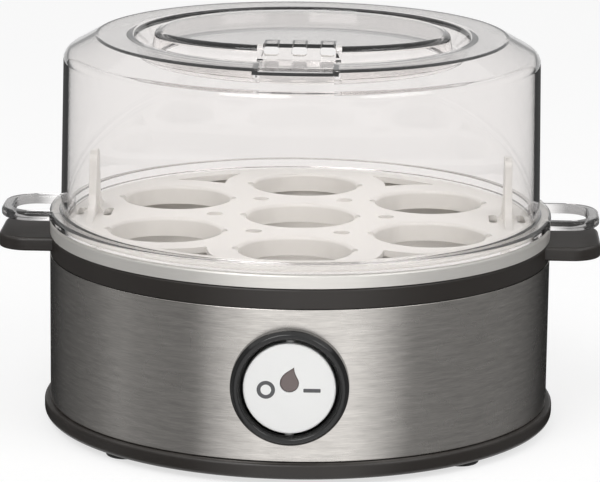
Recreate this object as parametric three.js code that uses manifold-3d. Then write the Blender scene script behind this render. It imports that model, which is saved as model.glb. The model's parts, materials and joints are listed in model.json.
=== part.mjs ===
// Seven-egg steam boiler: a brushed steel base with a water dish, an egg tray and a clear lid.
// Millimetres, +Z up, front towards -Y, origin on the table under the middle of the body.

import * as THREE from 'three';
import { mergeVertices } from 'three/addons/utils/BufferGeometryUtils.js';
import Module from 'manifold-3d';

const wasm = await Module();
wasm.setup();

// Sides of round forms
const bodySides = 40;
const coreSides = 24;
const buttonSides = 24;
const seatSides = 18;
const partSides = 16;
const smallSides = 8;
const notchSides = 6;
const wireSides = 6;

// Shared clearances
const seatGap = 0.2;
const slideGap = 0.6;
const overrun = 5;

// Body
const bodyRadius = 92.5;
const footProud = 2;
const ledgeHeight = 6;
const bandHeight = 55.1;
const ringHeight = 7.1;
const collarHeight = 5.1;
const bandWall = 0.6;

// Base pan
const ledgeProud = 2.2;
const ledgeChamfer = 1.5;
const panFloor = 2.6;
const panLipHeight = 3.5;
const panLipWall = 1.8;
const ventLength = 34;
const ventWidth = 2.6;
const ventPitch = 8;
const ventCount = 5;

// Feet
const footRadius = 7;
const footInset = 7.8;
const footPlaceRadius = bodyRadius - footInset;
const footSink = 1.4;
const footChamfer = 1;
const footCount = 4;
const footAngle = 45;

// Upper ring, its posts and its lugs
const ringShelf = 3;
const ringSkirtDrop = 3.6;
const ringSkirtWall = 2.2;
const ringRound = 0.9;
const ringLand = 12;
const ringBore = bodyRadius - ringLand;
const lugProud = 18.3;
const lugReach = bodyRadius + lugProud;
const lugWidth = 42;
const lugThickness = 5;
const lugCorner = 11;
const lugWall = 2.4;
const postRadius = 4.5;
const postInset = 8.5;
const postPlaceRadius = bodyRadius - postInset;
const postAngle = 30;
const bossRadius = 5.8;
const bossHeight = 4.6;
const pilotDepth = 14;

// Base screws
const screwRadius = 1.7;
const screwHeadRadius = 3.4;
const screwHeadHeight = 2.2;
const screwLength = 13;

// Dish
const dishWall = 0.8;
const dishDepth = 16.5;
const dishGap = 0.7;
const dishWallFall = 4;
const collarWidth = 4.3;
const collarSlope = 0.8;
const ledgeInner = ringBore - dishWall - dishGap;
const dishFloorRadius = ledgeInner - dishWallFall;
const collarInner = bodyRadius - collarWidth;
const ledgeOuter = collarInner - collarSlope;
const collarRound = 0.9;

// Gasket
const gasketWall = 5;

// Heater
const plateShare = 0.6267;
const plateRadius = dishFloorRadius * plateShare;
const plateThickness = 3.8;
const plateBore = 9.6;
const elementInset = 13;
const elementRadius = plateRadius - elementInset;
const elementTube = 3.25;
const elementOpening = 50;
const elementStops = 14;
const elementSteps = 34;
const tailSpread = 12.5;
const tailLength = 7;
const tailReach = plateRadius + tailLength;
const clampWidth = 14;
const clampThickness = 1.6;
const clampOverhang = 6;
const studOutset = 5;
const studSpacing = 2 * (plateRadius + studOutset);
const studRadius = 2;
const studLength = 27.5;
const studHoleGap = 0.25;
const nutRadius = 3.9;
const nutFlats = 6;
const nutHeight = 3.2;
const washerRadius = 5;
const washerThickness = 0.8;
const tagLength = 13;
const tagWidth = 6.3;

// Thermostat and fuse
const statRadius = 8;
const statFlange = 11;
const statFlangeThickness = 1.2;
const statBodyRadius = 7.4;
const statBodyDrop = 4.6;
const bladeWidth = 6.3;
const bladeThickness = 0.8;
const bladeLength = 7;
const statBladePitch = 10;
const fuseRadius = 2.2;
const fuseLength = 17;
const fuseInset = 17;
const fusePlace = plateRadius - fuseInset;
const fuseClipWall = 0.8;
const fuseClipLength = 7;
const fuseGap = 0.2;

// Heat shield
const shieldInset = 1;
const shieldRadius = plateRadius - shieldInset;
const shieldThickness = 0.8;
const shieldRim = 4;
const shieldTab = 12;
const shieldBore = 12;
const spacerRadius = 3.4;
const spacerLength = 5;

// Terminal block, gland and cord clamp
const blockLength = 28;
const blockDepth = 10;
const blockHeight = 10;
const blockInset = 37.5;
const blockPlace = bodyRadius - blockInset;
const blockPitch = 9;
const blockGroove = 1.2;
const glandHeight = 20;
const glandFlangeRadius = 8.5;
const glandBarrelRadius = 6.2;
const glandBore = 3.9;
const glandDepth = 14.5;
const glandInner = bodyRadius - glandDepth;
const glandCollarRadius = 7.8;
const glandCollarLength = 3;
const glandTaper = 1.6;
const cordClampInset = 22.5;
const cordClampPlace = bodyRadius - cordClampInset;
const cordClampPitch = 20;
const cordClampLength = 28;
const cordClampWidth = 8;
const cordClampHeight = 3.6;
const cordClampArch = 3.4;
const clampBossHeight = 9;
const clampBossRadius = 3.6;
const clampScrewRadius = 1.4;
const clampScrewHead = 2.8;
const clampScrewHeadHeight = 2;
const clampScrewLength = 9;

// Button
const bezelRadius = 20.75;
const bezelProud = 4.5;
const bezelCrest = 19.1;
const bezelShoulder = 2.1;
const bezelBarrelRadius = 18.9;
const bezelBarrelLength = 14;
const bezelBore = 17.15;
const bezelInnerFall = 1.7;
const buttonRadius = 16.15;
const buttonInset = 0.7;
const buttonEdge = 1.4;
const buttonSkirt = 6;
const buttonWall = 1.8;
const trunnionRadius = 1.6;
const trunnionSetback = 4.4;
const trunnionLength = 1.3;
const trunnionGap = 0.1;
const dropWidth = 6.4;
const dropHeight = 9;
const dropRise = 3.4;
const dropLean = 0.16;
const dropGap = 0.15;
const dropSegments = 8;
const lampRadius = 2.2;
const lampTipShare = 0.6;
const lampGap = 1.3;
const saddleWidth = 4;
const saddleThickness = 5.4;
const nutThickness = 4;
const nutGrip = 4.6;
const nutNotches = 8;
const nutNotchRadius = 1.5;
const switchSpigot = 6;
const switchFlange = 1.6;
const switchWidth = 24;
const switchHeight = 18;
const switchDepth = 12;
const switchPitch = 12;

// Tray
const trayRise = 0.7;
const trayThickness = 2.2;
const traySideGap = 1.6;
const trayRadius = ledgeOuter - traySideGap;
const seatRingShare = 0.641;
const seatShare = 0.3636;
const seatRingRadius = trayRadius * seatRingShare;
const seatRadius = seatRingRadius * seatShare;
const seatCount = 6;
const seatAngle = 30;
const seatChamfer = 1.4;
const skirtWall = 1.5;
const skirtDrop = 4.8;
const notchRadius = 2.4;
const notchCount = 2;
const steamHoleRadius = 3;
const drainRadius = 1.5;
const slotInset = 8.6;
const slotOuter = trayRadius - slotInset;
const slotMargin = 11;
const slotAngles = [60, 120, 240, 300];
const arcSegments = 5;
const locatorGap = 2.3;
const locatorOuter = ledgeInner - locatorGap;
const locatorWall = 1.6;
const locatorDrop = 2.6;
const finInset = 9.3;
const finPlace = trayRadius - finInset;
const finThickness = 2.8;
const finHeight = 23.6;
const finFoot = 38;
const finKnee = 22;
const finKneeHeight = 2.4;
const finWidth = 15;
const finTip = 9;
const finFlare = 7;
const buttressWidth = 6.8;
const buttressWaist = 4.4;
const buttressWaistHeight = 2.4;
const buttressHeight = 8;
const drainOffset = 5.2;

// Lid
const lidWall = 2;
const lidInset = 4.1;
const lidDraft = 1.1;
const lidShoulderWidth = 12;
const lidRingWidth = 13.5;
const recessDraft = 3.4;
const flangeProud = 0.1;
const lidFootRadius = bodyRadius - lidInset;
const lidShoulderRadius = lidFootRadius - lidDraft;
const lidShoulderHeight = 61.8;
const lidTopRadius = lidShoulderRadius - lidShoulderWidth;
const lidTopHeight = 68.5;
const recessRadius = lidTopRadius - lidRingWidth;
const recessFloorRadius = recessRadius - recessDraft;
const recessDepth = 7;
const flangeRadius = bodyRadius + flangeProud;
const flangeThickness = 3.4;
const flangeRound = 0.8;
const loopProud = 17.6;
const loopReach = flangeRadius + loopProud;
const loopWidth = 34;
const loopBand = 4.6;
const loopCorner = 12;
const gripLength = 100;
const gripWidth = 71;
const gripRise = 1.1;
const gripDraftShare = 1.03;
const ventWallFoot = 35;
const ventWallSetback = 6;
const channelWidth = 26;
const channelInnerDrop = 3.5;
const channelOuterDrop = 0.9;
const steamSlotWidth = 5.5;
const steamSlotHeight = 2.7;
const steamSlotPitch = 10.1;

// Leads
const leadRadius = 1.2;
const leadSteps = 10;
const leadEndGap = 1.4;

// Levels, counted up from the table
const panZ = footProud;
const bandZ = panZ + ledgeHeight;
const ringZ = bandZ + bandHeight;
const collarZ = ringZ + ringHeight;
const rimZ = collarZ + collarHeight;
const trayZ = rimZ + trayRise;
const lidZ = rimZ + seatGap;
const buttonZ = bandZ + bandHeight / 2;
const panTopZ = panZ + panFloor;
const dishLedgeZ = trayZ - trayThickness - seatGap;
const dishFloorZ = rimZ - dishDepth;
const plateTopZ = dishFloorZ - dishWall - seatGap;
const plateZ = plateTopZ - plateThickness;
const elementZ = plateZ - seatGap - elementTube;
const clampTopZ = elementZ - elementTube - seatGap;
const clampZ = clampTopZ - clampThickness;
const washerZ = clampZ - seatGap - washerThickness;
const upperNutZ = washerZ - seatGap - nutHeight;
const spacerZ = upperNutZ - seatGap - spacerLength;
const shieldTopZ = spacerZ - seatGap;
const shieldZ = shieldTopZ - shieldThickness;
const lowerNutZ = shieldZ - seatGap - nutHeight;
const frontY = -(bodyRadius + bezelProud);
const blockTopZ = panTopZ + seatGap + blockHeight;
const studX = studSpacing / 2;
const lidInside = lidFootRadius - lidWall;

// Turns any closed three.js geometry into a solid, faces outwards
function solid(geometry) {
  geometry.deleteAttribute('normal');
  geometry.deleteAttribute('uv');
  const merged = mergeVertices(geometry);
  const place = merged.getAttribute('position');
  const index = merged.getIndex();
  const corners = [];
  let volume = 0;
  const [a, b, c] = [new THREE.Vector3(), new THREE.Vector3(), new THREE.Vector3()];
  for (let i = 0; i < index.count; i += 3) {
    const face = [index.getX(i), index.getX(i + 1), index.getX(i + 2)];
    if (new Set(face).size < 3) continue;
    a.fromBufferAttribute(place, face[0]);
    b.fromBufferAttribute(place, face[1]);
    c.fromBufferAttribute(place, face[2]);
    volume += a.dot(b.cross(c));
    corners.push(face);
  }
  if (volume < 0) corners.forEach((face) => face.reverse());
  return new wasm.Manifold(new wasm.Mesh({
    numProp: 3,
    vertProperties: new Float32Array(place.array),
    triVerts: new Uint32Array(corners.flat()),
  }));
}

function shown(body) {
  const mesh = body.getMesh();
  const geometry = new THREE.BufferGeometry();
  geometry.setAttribute('position', new THREE.BufferAttribute(mesh.vertProperties, 3));
  geometry.setIndex(new THREE.BufferAttribute(mesh.triVerts, 1));
  geometry.computeVertexNormals();
  return geometry;
}

function finish(color, roughness, metalness, opacity = 1) {
  return new THREE.MeshStandardMaterial({ color, roughness, metalness, opacity, transparent: opacity < 1 });
}

function place(group, name, body, material) {
  const mesh = new THREE.Mesh(shown(body), material);
  mesh.name = name;
  group.add(mesh);
  return mesh;
}

// Joins a list of solids into one node
function joined(bodies) {
  return bodies.reduce((all, body) => all.add(body));
}

// Turns [radius, height] points round the Z axis, or round the Y axis
function lathe(points, sides) {
  const outline = points.map(([r, h]) => new THREE.Vector2(r, h));
  if (points[0][0] > 0) outline.push(outline[0].clone());
  return new THREE.LatheGeometry(outline, sides);
}

function turned(points, sides = bodySides) {
  return solid(lathe(points, sides).rotateX(Math.PI / 2));
}

function turnedY(points, sides = partSides) {
  return solid(lathe(points, sides));
}

function ringOf(inner, outer, low, high, sides = bodySides) {
  return turned([[outer, low], [outer, high], [inner, high], [inner, low]], sides);
}

function ringOfY(inner, outer, front, back, sides = partSides) {
  return turnedY([[outer, front], [outer, back], [inner, back], [inner, front]], sides);
}

function post(radius, low, high, x = 0, y = 0, sides = smallSides) {
  const height = high - low;
  const geometry = new THREE.CylinderGeometry(radius, radius, height, sides);
  return solid(geometry.rotateX(Math.PI / 2).translate(x, y, low + height / 2));
}

function block(x, y, z, low) {
  return solid(new THREE.BoxGeometry(x, y, z).translate(0, 0, low + z / 2));
}

// Moves every point of an open line to its left by a distance, mitred at the corners
function offsetLine(points, distance) {
  const normals = points.slice(1).map(([r, h], i) => {
    const dr = r - points[i][0];
    const dh = h - points[i][1];
    const length = Math.hypot(dr, dh);
    return [-dh / length, dr / length];
  });
  return points.map(([r, h], i) => {
    const a = normals[Math.max(i - 1, 0)];
    const b = normals[Math.min(i, normals.length - 1)];
    const reach = distance / (1 + a[0] * b[0] + a[1] * b[1]);
    return [r + (a[0] + b[0]) * reach, h + (a[1] + b[1]) * reach];
  });
}

function polar(radius, degrees) {
  const angle = THREE.MathUtils.degToRad(degrees);
  return [radius * Math.cos(angle), radius * Math.sin(angle)];
}

// A flat outline given height, along Z, or laid across X from a Y-Z outline
function slab(shape, low, height, curveSegments = 6) {
  const settings = { depth: height, bevelEnabled: false, curveSegments };
  return solid(new THREE.ExtrudeGeometry(shape, settings).translate(0, 0, low));
}

function across(points, width, x = 0) {
  const shape = new THREE.Shape(points.map(([y, z]) => new THREE.Vector2(y, z)));
  const geometry = new THREE.ExtrudeGeometry(shape, { depth: width, bevelEnabled: false });
  return solid(geometry.rotateY(Math.PI / 2).rotateX(Math.PI / 2).translate(x - width / 2, 0, 0));
}

// A lug or loop outline that reaches out along +X with two round corners
function lugShape(start, reach, width, corner) {
  const half = width / 2;
  const shape = new THREE.Shape();
  shape.moveTo(start, -half);
  shape.lineTo(reach - corner, -half);
  shape.absarc(reach - corner, -half + corner, corner, -Math.PI / 2, 0, false);
  shape.lineTo(reach, half - corner);
  shape.absarc(reach - corner, half - corner, corner, 0, Math.PI / 2, false);
  shape.lineTo(start, half);
  shape.closePath();
  return shape;
}

function mirroredX(body) {
  return body.add(body.rotate([0, 0, 180]));
}

function sweep(points, radius, steps, sides) {
  const section = new THREE.Shape();
  for (let i = 0; i < sides; i += 1) {
    const angle = (2 * Math.PI * i) / sides;
    section[i ? 'lineTo' : 'moveTo'](radius * Math.cos(angle), radius * Math.sin(angle));
  }
  section.closePath();
  const path = Array.isArray(points) ? new THREE.CatmullRomCurve3(points) : points;
  return solid(new THREE.ExtrudeGeometry(section, { steps, bevelEnabled: false, extrudePath: path }));
}

// Base

function makeBasePan() {
  const ledge = bodyRadius + ledgeProud;
  const lipOuter = bodyRadius - bandWall - seatGap;
  const lipInner = lipOuter - panLipWall;
  let pan = turned([
    [0, panZ], [ledge - ledgeChamfer, panZ], [ledge, panZ + ledgeChamfer], [ledge, bandZ - ledgeChamfer / 2],
    [ledge - ledgeChamfer / 2, bandZ], [lipOuter, bandZ], [lipOuter, bandZ + panLipHeight],
    [lipInner, bandZ + panLipHeight], [lipInner, panTopZ], [0, panTopZ],
  ]);
  const bossTop = panTopZ + bossHeight;
  for (const [x, y] of postPlaces()) {
    pan = pan.add(post(bossRadius, panZ + panFloor / 2, bossTop, x, y));
    pan = pan.subtract(post(screwRadius + seatGap, panZ - overrun, bossTop + overrun, x, y));
    pan = pan.subtract(post(screwHeadRadius + seatGap, panZ - overrun, screwSeatZ(), x, y));
  }
  for (const [x, y] of footPlaces()) {
    pan = pan.subtract(post(footRadius + seatGap, panZ - overrun, panZ + footSink, x, y, partSides));
  }
  for (const x of [-cordClampPitch / 2, cordClampPitch / 2]) {
    const top = panTopZ + clampBossHeight;
    pan = pan.add(post(clampBossRadius, panZ + panFloor / 2, top, x, cordClampPlace));
    pan = pan.subtract(post(clampScrewRadius + seatGap, panTopZ, top + overrun, x, cordClampPlace));
  }
  const vent = block(ventWidth, ventLength, panFloor + 2 * overrun, panZ - overrun);
  for (let i = 0; i < ventCount; i += 1) {
    pan = pan.subtract(vent.translate([(i - (ventCount - 1) / 2) * ventPitch, 0, 0]));
  }
  return pan;
}

function postPlaces() {
  return [postAngle, 180 - postAngle, 180 + postAngle, -postAngle].map((at) => polar(postPlaceRadius, at));
}

function footPlaces() {
  const step = 360 / footCount;
  return Array.from({ length: footCount }, (_, i) => polar(footPlaceRadius, footAngle + step * i));
}

function screwSeatZ() {
  return panZ + screwHeadHeight + seatGap;
}

function makeFoot([x, y]) {
  const top = panZ + footSink - seatGap;
  const pad = turned([
    [0, 0], [footRadius - footChamfer, 0], [footRadius, footChamfer], [footRadius, top], [0, top],
  ], partSides);
  return pad.translate([x, y, 0]);
}

function makeBaseScrew([x, y]) {
  const seat = screwSeatZ() - seatGap / 2;
  const head = post(screwHeadRadius, seat - screwHeadHeight, seat, x, y);
  return head.add(post(screwRadius, seat - screwHeadHeight / 2, seat + screwLength, x, y));
}

function makeSteelBand() {
  const band = ringOf(bodyRadius - bandWall, bodyRadius, bandZ + seatGap, ringZ - seatGap);
  const front = bandHole(bezelBarrelRadius + seatGap, -1, buttonSides).translate([0, 0, buttonZ]);
  const rear = bandHole(glandBarrelRadius + seatGap, 1, partSides).translate([0, 0, glandHeight]);
  return band.subtract(front).subtract(rear);
}

// A round cutter along Y through the band's front or back
function bandHole(radius, side, sides) {
  const geometry = new THREE.CylinderGeometry(radius, radius, 2 * overrun, sides);
  return solid(geometry.translate(0, side * bodyRadius, 0));
}

function makeUpperRing() {
  const skirtOuter = bodyRadius - bandWall - seatGap;
  const skirtInner = skirtOuter - ringSkirtWall;
  const shelfZ = collarZ - ringShelf;
  let ring = turned([
    [skirtInner, ringZ - ringSkirtDrop], [skirtOuter, ringZ - ringSkirtDrop], [skirtOuter, ringZ],
    [bodyRadius, ringZ], [bodyRadius, collarZ - ringRound], [bodyRadius - ringRound, collarZ],
    [ringBore, collarZ], [ringBore, shelfZ], [skirtInner, shelfZ],
  ]);
  const lugZ = collarZ - lugThickness;
  const lugStart = bodyRadius - ringSkirtWall / 2;
  const lug = slab(lugShape(lugStart, lugReach, lugWidth, lugCorner), lugZ, lugThickness);
  const pocketShape = lugShape(bodyRadius, lugReach - lugWall, lugWidth - 2 * lugWall, lugCorner - lugWall);
  const pocket = slab(pocketShape, lugZ - overrun, lugThickness - lugWall + overrun);
  ring = ring.add(mirroredX(lug)).subtract(mirroredX(pocket));
  const postLow = panTopZ + bossHeight + seatGap;
  for (const [x, y] of postPlaces()) {
    ring = ring.add(post(postRadius, postLow, shelfZ + ringShelf / 2, x, y));
    ring = ring.subtract(post(screwRadius + seatGap, postLow - overrun, postLow + pilotDepth, x, y));
  }
  return ring;
}

// Dish and heater

function makeDish() {
  const collarEdge = bodyRadius - collarRound;
  const face = [
    [0, dishFloorZ], [dishFloorRadius, dishFloorZ], [ledgeInner, dishLedgeZ], [ledgeOuter, dishLedgeZ],
    [collarInner, rimZ], [collarEdge, rimZ], [bodyRadius, rimZ - collarRound],
    [bodyRadius, collarZ + seatGap],
  ];
  const back = offsetLine(face, -dishWall).reverse();
  let dish = turned([...face, ...back]);
  for (const x of [-studX, studX]) {
    dish = dish.add(post(studRadius, plateTopZ - studLength, dishFloorZ - dishWall / 2, x, 0));
  }
  return dish;
}

function makeGasket() {
  const low = collarZ + seatGap;
  const high = dishLedgeZ - dishWall - seatGap;
  const inner = ledgeInner + dishWall + seatGap;
  const outer = inner + gasketWall;
  const rise = (high - low) / 2;
  return turned([[inner, low], [outer, low], [outer, high - rise], [outer - rise, high], [inner, high]]);
}

function makeElement() {
  const points = [[tailSpread, tailReach], [tailSpread, (tailReach + elementRadius) / 2]];
  const sweepAngle = 360 - 2 * elementOpening;
  for (let i = 0; i <= elementStops; i += 1) {
    points.push(polar(elementRadius, 90 - elementOpening - (sweepAngle * i) / elementStops));
  }
  points.push([-tailSpread, (tailReach + elementRadius) / 2], [-tailSpread, tailReach]);
  const route = points.map(([x, y]) => new THREE.Vector3(x, y, elementZ));
  return sweep(route, elementTube, elementSteps, smallSides);
}

function makeElementTerminal(side) {
  const blade = block(bladeThickness, bladeLength, bladeWidth, elementZ - bladeWidth / 2);
  return blade.translate([side * tailSpread, tailReach + seatGap + bladeLength / 2, 0]);
}

function makeHeaterClamp() {
  const length = studSpacing + 2 * clampOverhang;
  let strip = block(length, clampWidth, clampThickness, clampZ);
  for (const x of [-studX, studX]) {
    strip = strip.subtract(post(studRadius + studHoleGap, clampZ - overrun, clampTopZ + overrun, x, 0));
  }
  const bore = post(statBodyRadius + slideGap, clampZ - overrun, clampTopZ + overrun, 0, 0, partSides);
  const eye = ringOf(statBodyRadius + slideGap, statFlange + slideGap, clampZ, clampTopZ, partSides);
  return strip.subtract(bore).add(eye);
}

function makeNut(side, low) {
  const nut = post(nutRadius, low, low + nutHeight, 0, 0, nutFlats);
  const bore = post(studRadius + studHoleGap, low - overrun, low + nutHeight + overrun);
  return nut.subtract(bore).translate([side * studX, 0, 0]);
}

function makeSpacer(side) {
  const tube = ringOf(studRadius + studHoleGap, spacerRadius, spacerZ, spacerZ + spacerLength, smallSides);
  return tube.translate([side * studX, 0, 0]);
}

function makeWasher() {
  return ringOf(studRadius + studHoleGap, washerRadius, washerZ, washerZ + washerThickness, smallSides);
}

function makeEarthTag() {
  const tail = block(tagWidth, tagLength, washerThickness, washerZ).translate([0, tagLength / 2, 0]);
  const hole = post(studRadius + studHoleGap, washerZ - overrun, clampZ + overrun);
  return makeWasher().add(tail).subtract(hole).translate([studX, 0, 0]);
}

function makeThermostat() {
  const flangeZ = clampTopZ + seatGap;
  const low = clampZ - statBodyDrop;
  let stat = turned([
    [0, low], [statBodyRadius, low], [statBodyRadius, flangeZ], [statFlange, flangeZ],
    [statFlange, flangeZ + statFlangeThickness], [statRadius, flangeZ + statFlangeThickness],
    [statRadius, plateTopZ], [0, plateTopZ],
  ], partSides);
  const root = statBodyRadius / 2;
  const blade = block(bladeWidth, bladeLength + root, bladeThickness, low);
  for (const x of [-statBladePitch / 2, statBladePitch / 2]) {
    const y = statBodyRadius + (bladeLength - root) / 2;
    stat = stat.add(blade.translate([x, y, 0]));
  }
  return stat;
}

function makeFuse() {
  return solid(new THREE.CylinderGeometry(fuseRadius, fuseRadius, fuseLength, smallSides)
    .translate(fusePlace, 0, fuseZ()));
}

function fuseZ() {
  return clampZ - seatGap - fuseClipWall - fuseGap - fuseRadius;
}

function makeFuseClip() {
  const inner = 2 * (fuseRadius + fuseGap);
  const outer = inner + 2 * fuseClipWall;
  const low = fuseZ() - outer / 2;
  const shell = block(outer, fuseClipLength, outer, low);
  const hollow = block(inner, fuseClipLength + overrun, inner, low + fuseClipWall);
  return shell.subtract(hollow).translate([fusePlace, 0, 0]);
}

function makeHeatShield() {
  const face = [[shieldBore, shieldTopZ], [shieldRadius, shieldTopZ], [shieldRadius, shieldTopZ - shieldRim]];
  const back = offsetLine(face, -shieldThickness).reverse();
  let shield = turned([...face, ...back], coreSides);
  const tabLength = studX + washerRadius - (shieldRadius - shieldTab);
  const tab = block(tabLength, shieldTab, shieldThickness, shieldZ)
    .translate([shieldRadius - shieldTab + tabLength / 2, 0, 0]);
  shield = shield.add(mirroredX(tab));
  for (const x of [-studX, studX]) {
    shield = shield.subtract(post(studRadius + studHoleGap, shieldZ - overrun, shieldTopZ + overrun, x, 0));
  }
  return shield;
}

// Mains entry

function makeTerminalBlock() {
  let terminal = block(blockLength, blockDepth, blockHeight, panTopZ + seatGap);
  const grooveZ = blockTopZ - blockHeight / 2 + overrun / 4;
  const groove = block(blockGroove, blockDepth + overrun, blockHeight / 2, grooveZ);
  for (const x of [-blockPitch / 2, blockPitch / 2]) {
    terminal = terminal.subtract(groove.translate([x, 0, 0]));
  }
  return terminal.translate([0, blockPlace, 0]);
}

function makeGland() {
  const wall = bodyRadius + seatGap;
  const flange = turnedY([
    [glandBore, wall - overrun], [glandFlangeRadius, wall - overrun],
    [glandFlangeRadius, -frontY - glandTaper], [glandFlangeRadius - glandTaper, -frontY],
    [glandBore, -frontY],
  ]).subtract(post(wall, -overrun * 2, overrun * 2, 0, 0, bodySides));
  const barrel = ringOfY(glandBore, glandBarrelRadius, glandInner, bodyRadius + bezelProud / 2);
  const inside = bodyRadius - bandWall - seatGap;
  const collar = ringOfY(glandBore, glandCollarRadius, inside - glandCollarLength, bodyRadius)
    .intersect(post(inside, -overrun * 2, overrun * 2, 0, 0, bodySides));
  return joined([flange, barrel, collar]).translate([0, 0, glandHeight]);
}

function makeCordClamp() {
  const low = panTopZ + clampBossHeight + seatGap;
  let bar = block(cordClampLength, cordClampWidth, cordClampHeight, low);
  const arch = new THREE.CylinderGeometry(cordClampArch, cordClampArch, cordClampWidth + overrun, smallSides);
  bar = bar.subtract(solid(arch.translate(0, 0, low - cordClampArch / 2)));
  for (const x of [-cordClampPitch / 2, cordClampPitch / 2]) {
    bar = bar.subtract(post(clampScrewRadius + seatGap, low - overrun, low + cordClampHeight + overrun, x));
  }
  return bar.translate([0, cordClampPlace, 0]);
}

function makeClampScrew(side) {
  const seat = panTopZ + clampBossHeight + cordClampHeight + 2 * seatGap;
  const head = post(clampScrewHead, seat, seat + clampScrewHeadHeight);
  const shank = post(clampScrewRadius, seat - clampScrewLength, seat + clampScrewHeadHeight / 2);
  return head.add(shank).translate([(side * cordClampPitch) / 2, cordClampPlace, 0]);
}

// Button and switch, made round the button's own centre height

function bodyPlug(radius) {
  return post(radius, -2 * bezelRadius, 2 * bezelRadius, 0, 0, bodySides);
}

function trunnionY() {
  return frontY + buttonInset + trunnionSetback;
}

function barrelBackY() {
  return -bodyRadius + bezelBarrelLength;
}

function makeBezel() {
  const flange = turnedY([
    [bezelBore, barrelBackY()], [bezelRadius, barrelBackY()], [bezelRadius, frontY + bezelShoulder],
    [(bezelRadius + bezelCrest) / 2 + bezelShoulder / 4, frontY + bezelShoulder / 4], [bezelCrest, frontY],
    [(bezelCrest + bezelBore) / 2, frontY + bezelInnerFall / 4], [bezelBore, frontY + bezelInnerFall],
  ], buttonSides).subtract(bodyPlug(bodyRadius + seatGap));
  const barrel = ringOfY(bezelBore, bezelBarrelRadius, frontY + bezelProud / 2, barrelBackY(), buttonSides);
  const hole = post(trunnionRadius + trunnionGap, -bezelBarrelRadius, bezelBarrelRadius, 0, trunnionY());
  return flange.add(barrel).subtract(hole);
}

function makeSaddleWasher() {
  const inner = bezelBarrelRadius + seatGap;
  const back = -bodyRadius + bandWall + saddleThickness;
  return ringOfY(inner, inner + saddleWidth, -bodyRadius - overrun, back, buttonSides)
    .intersect(bodyPlug(bodyRadius - bandWall - seatGap));
}

function makeBezelNut() {
  const inner = bezelBarrelRadius + seatGap;
  const front = -bodyRadius + bandWall + saddleThickness + seatGap;
  let nut = ringOfY(inner, inner + nutGrip, front, front + nutThickness, buttonSides);
  for (let i = 0; i < nutNotches; i += 1) {
    const [x, z] = polar(inner + nutGrip, (360 / nutNotches) * (i + 1 / 2));
    const depth = nutThickness + overrun;
    const notch = new THREE.CylinderGeometry(nutNotchRadius, nutNotchRadius, depth, notchSides);
    nut = nut.subtract(solid(notch.translate(x, front + nutThickness / 2, z)));
  }
  return nut;
}

function dropShape(grow) {
  const width = dropWidth / 2 + grow;
  const low = -dropHeight / 2 - grow;
  const tip = dropHeight / 2 + grow;
  const belly = low + width;
  const lean = dropLean * dropHeight;
  const shape = new THREE.Shape();
  shape.moveTo(lean, tip);
  shape.bezierCurveTo(lean, (tip + belly) / 2, -width, belly + width / 2, -width, belly);
  shape.absarc(0, belly, width, Math.PI, 2 * Math.PI, false);
  shape.bezierCurveTo(width, belly + width / 2, lean + width / 4, (tip + belly) / 2, lean, tip);
  return shape;
}

function dropSolid(grow, front, depth) {
  const settings = { depth, bevelEnabled: false, curveSegments: dropSegments };
  const geometry = new THREE.ExtrudeGeometry(dropShape(grow), settings);
  return solid(geometry.rotateX(Math.PI / 2).translate(0, front + depth, dropRise));
}

function makeRocker() {
  const front = frontY + buttonInset;
  const cup = turnedY([
    [0, front], [buttonRadius - buttonEdge, front + buttonEdge / 4], [buttonRadius, front + buttonEdge],
    [buttonRadius, front + buttonSkirt], [buttonRadius - buttonWall, front + buttonSkirt],
    [buttonRadius - buttonWall, front + buttonEdge + buttonWall], [0, front + buttonEdge + buttonWall],
  ], buttonSides);
  const rootRadius = buttonRadius - buttonWall / 2;
  const tip = bezelBore + trunnionLength;
  const upper = post(trunnionRadius, rootRadius, tip, 0, trunnionY());
  const lower = post(trunnionRadius, -tip, -rootRadius, 0, trunnionY());
  const window = dropSolid(dropGap, front - overrun, 2 * overrun);
  return joined([cup, upper, lower]).subtract(window);
}

function makeLens() {
  const front = frontY + buttonInset;
  return dropSolid(0, front, buttonEdge + buttonWall);
}

function makeLamp() {
  const front = frontY + buttonInset + buttonEdge + buttonWall + lampGap;
  const back = switchFrontY() - seatGap;
  return turnedY([
    [0, front], [lampRadius * lampTipShare, front + lampRadius / 3], [lampRadius, front + lampRadius],
    [lampRadius, back], [0, back],
  ], smallSides).translate([0, 0, dropRise]);
}

function switchFrontY() {
  return barrelBackY() - switchSpigot;
}

function switchBackY() {
  return barrelBackY() + switchFlange + switchDepth;
}

function makeSwitchBody() {
  const seat = barrelBackY() + seatGap;
  const spigot = turnedY([
    [0, switchFrontY()], [bezelBore - seatGap, switchFrontY()], [bezelBore - seatGap, seat],
    [bezelBarrelRadius, seat], [bezelBarrelRadius, seat + switchFlange], [0, seat + switchFlange],
  ], buttonSides);
  const depth = switchBackY() - seat;
  const box = block(switchWidth, depth, switchHeight, -switchHeight / 2).translate([0, seat + depth / 2, 0]);
  return spigot.add(box);
}

function makeSwitchTerminal(side) {
  const blade = block(bladeThickness, bladeLength, bladeWidth, -bladeWidth / 2);
  return blade.translate([(side * switchPitch) / 2, switchBackY() + seatGap + bladeLength / 2, 0]);
}

// Leads, each one smooth bend between two ends

function makeLead(start, leave, arrive, end) {
  const corners = [start, leave, arrive, end].map((p) => new THREE.Vector3(...p));
  return sweep(new THREE.CubicBezierCurve3(...corners), leadRadius, leadSteps, wireSides);
}

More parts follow.
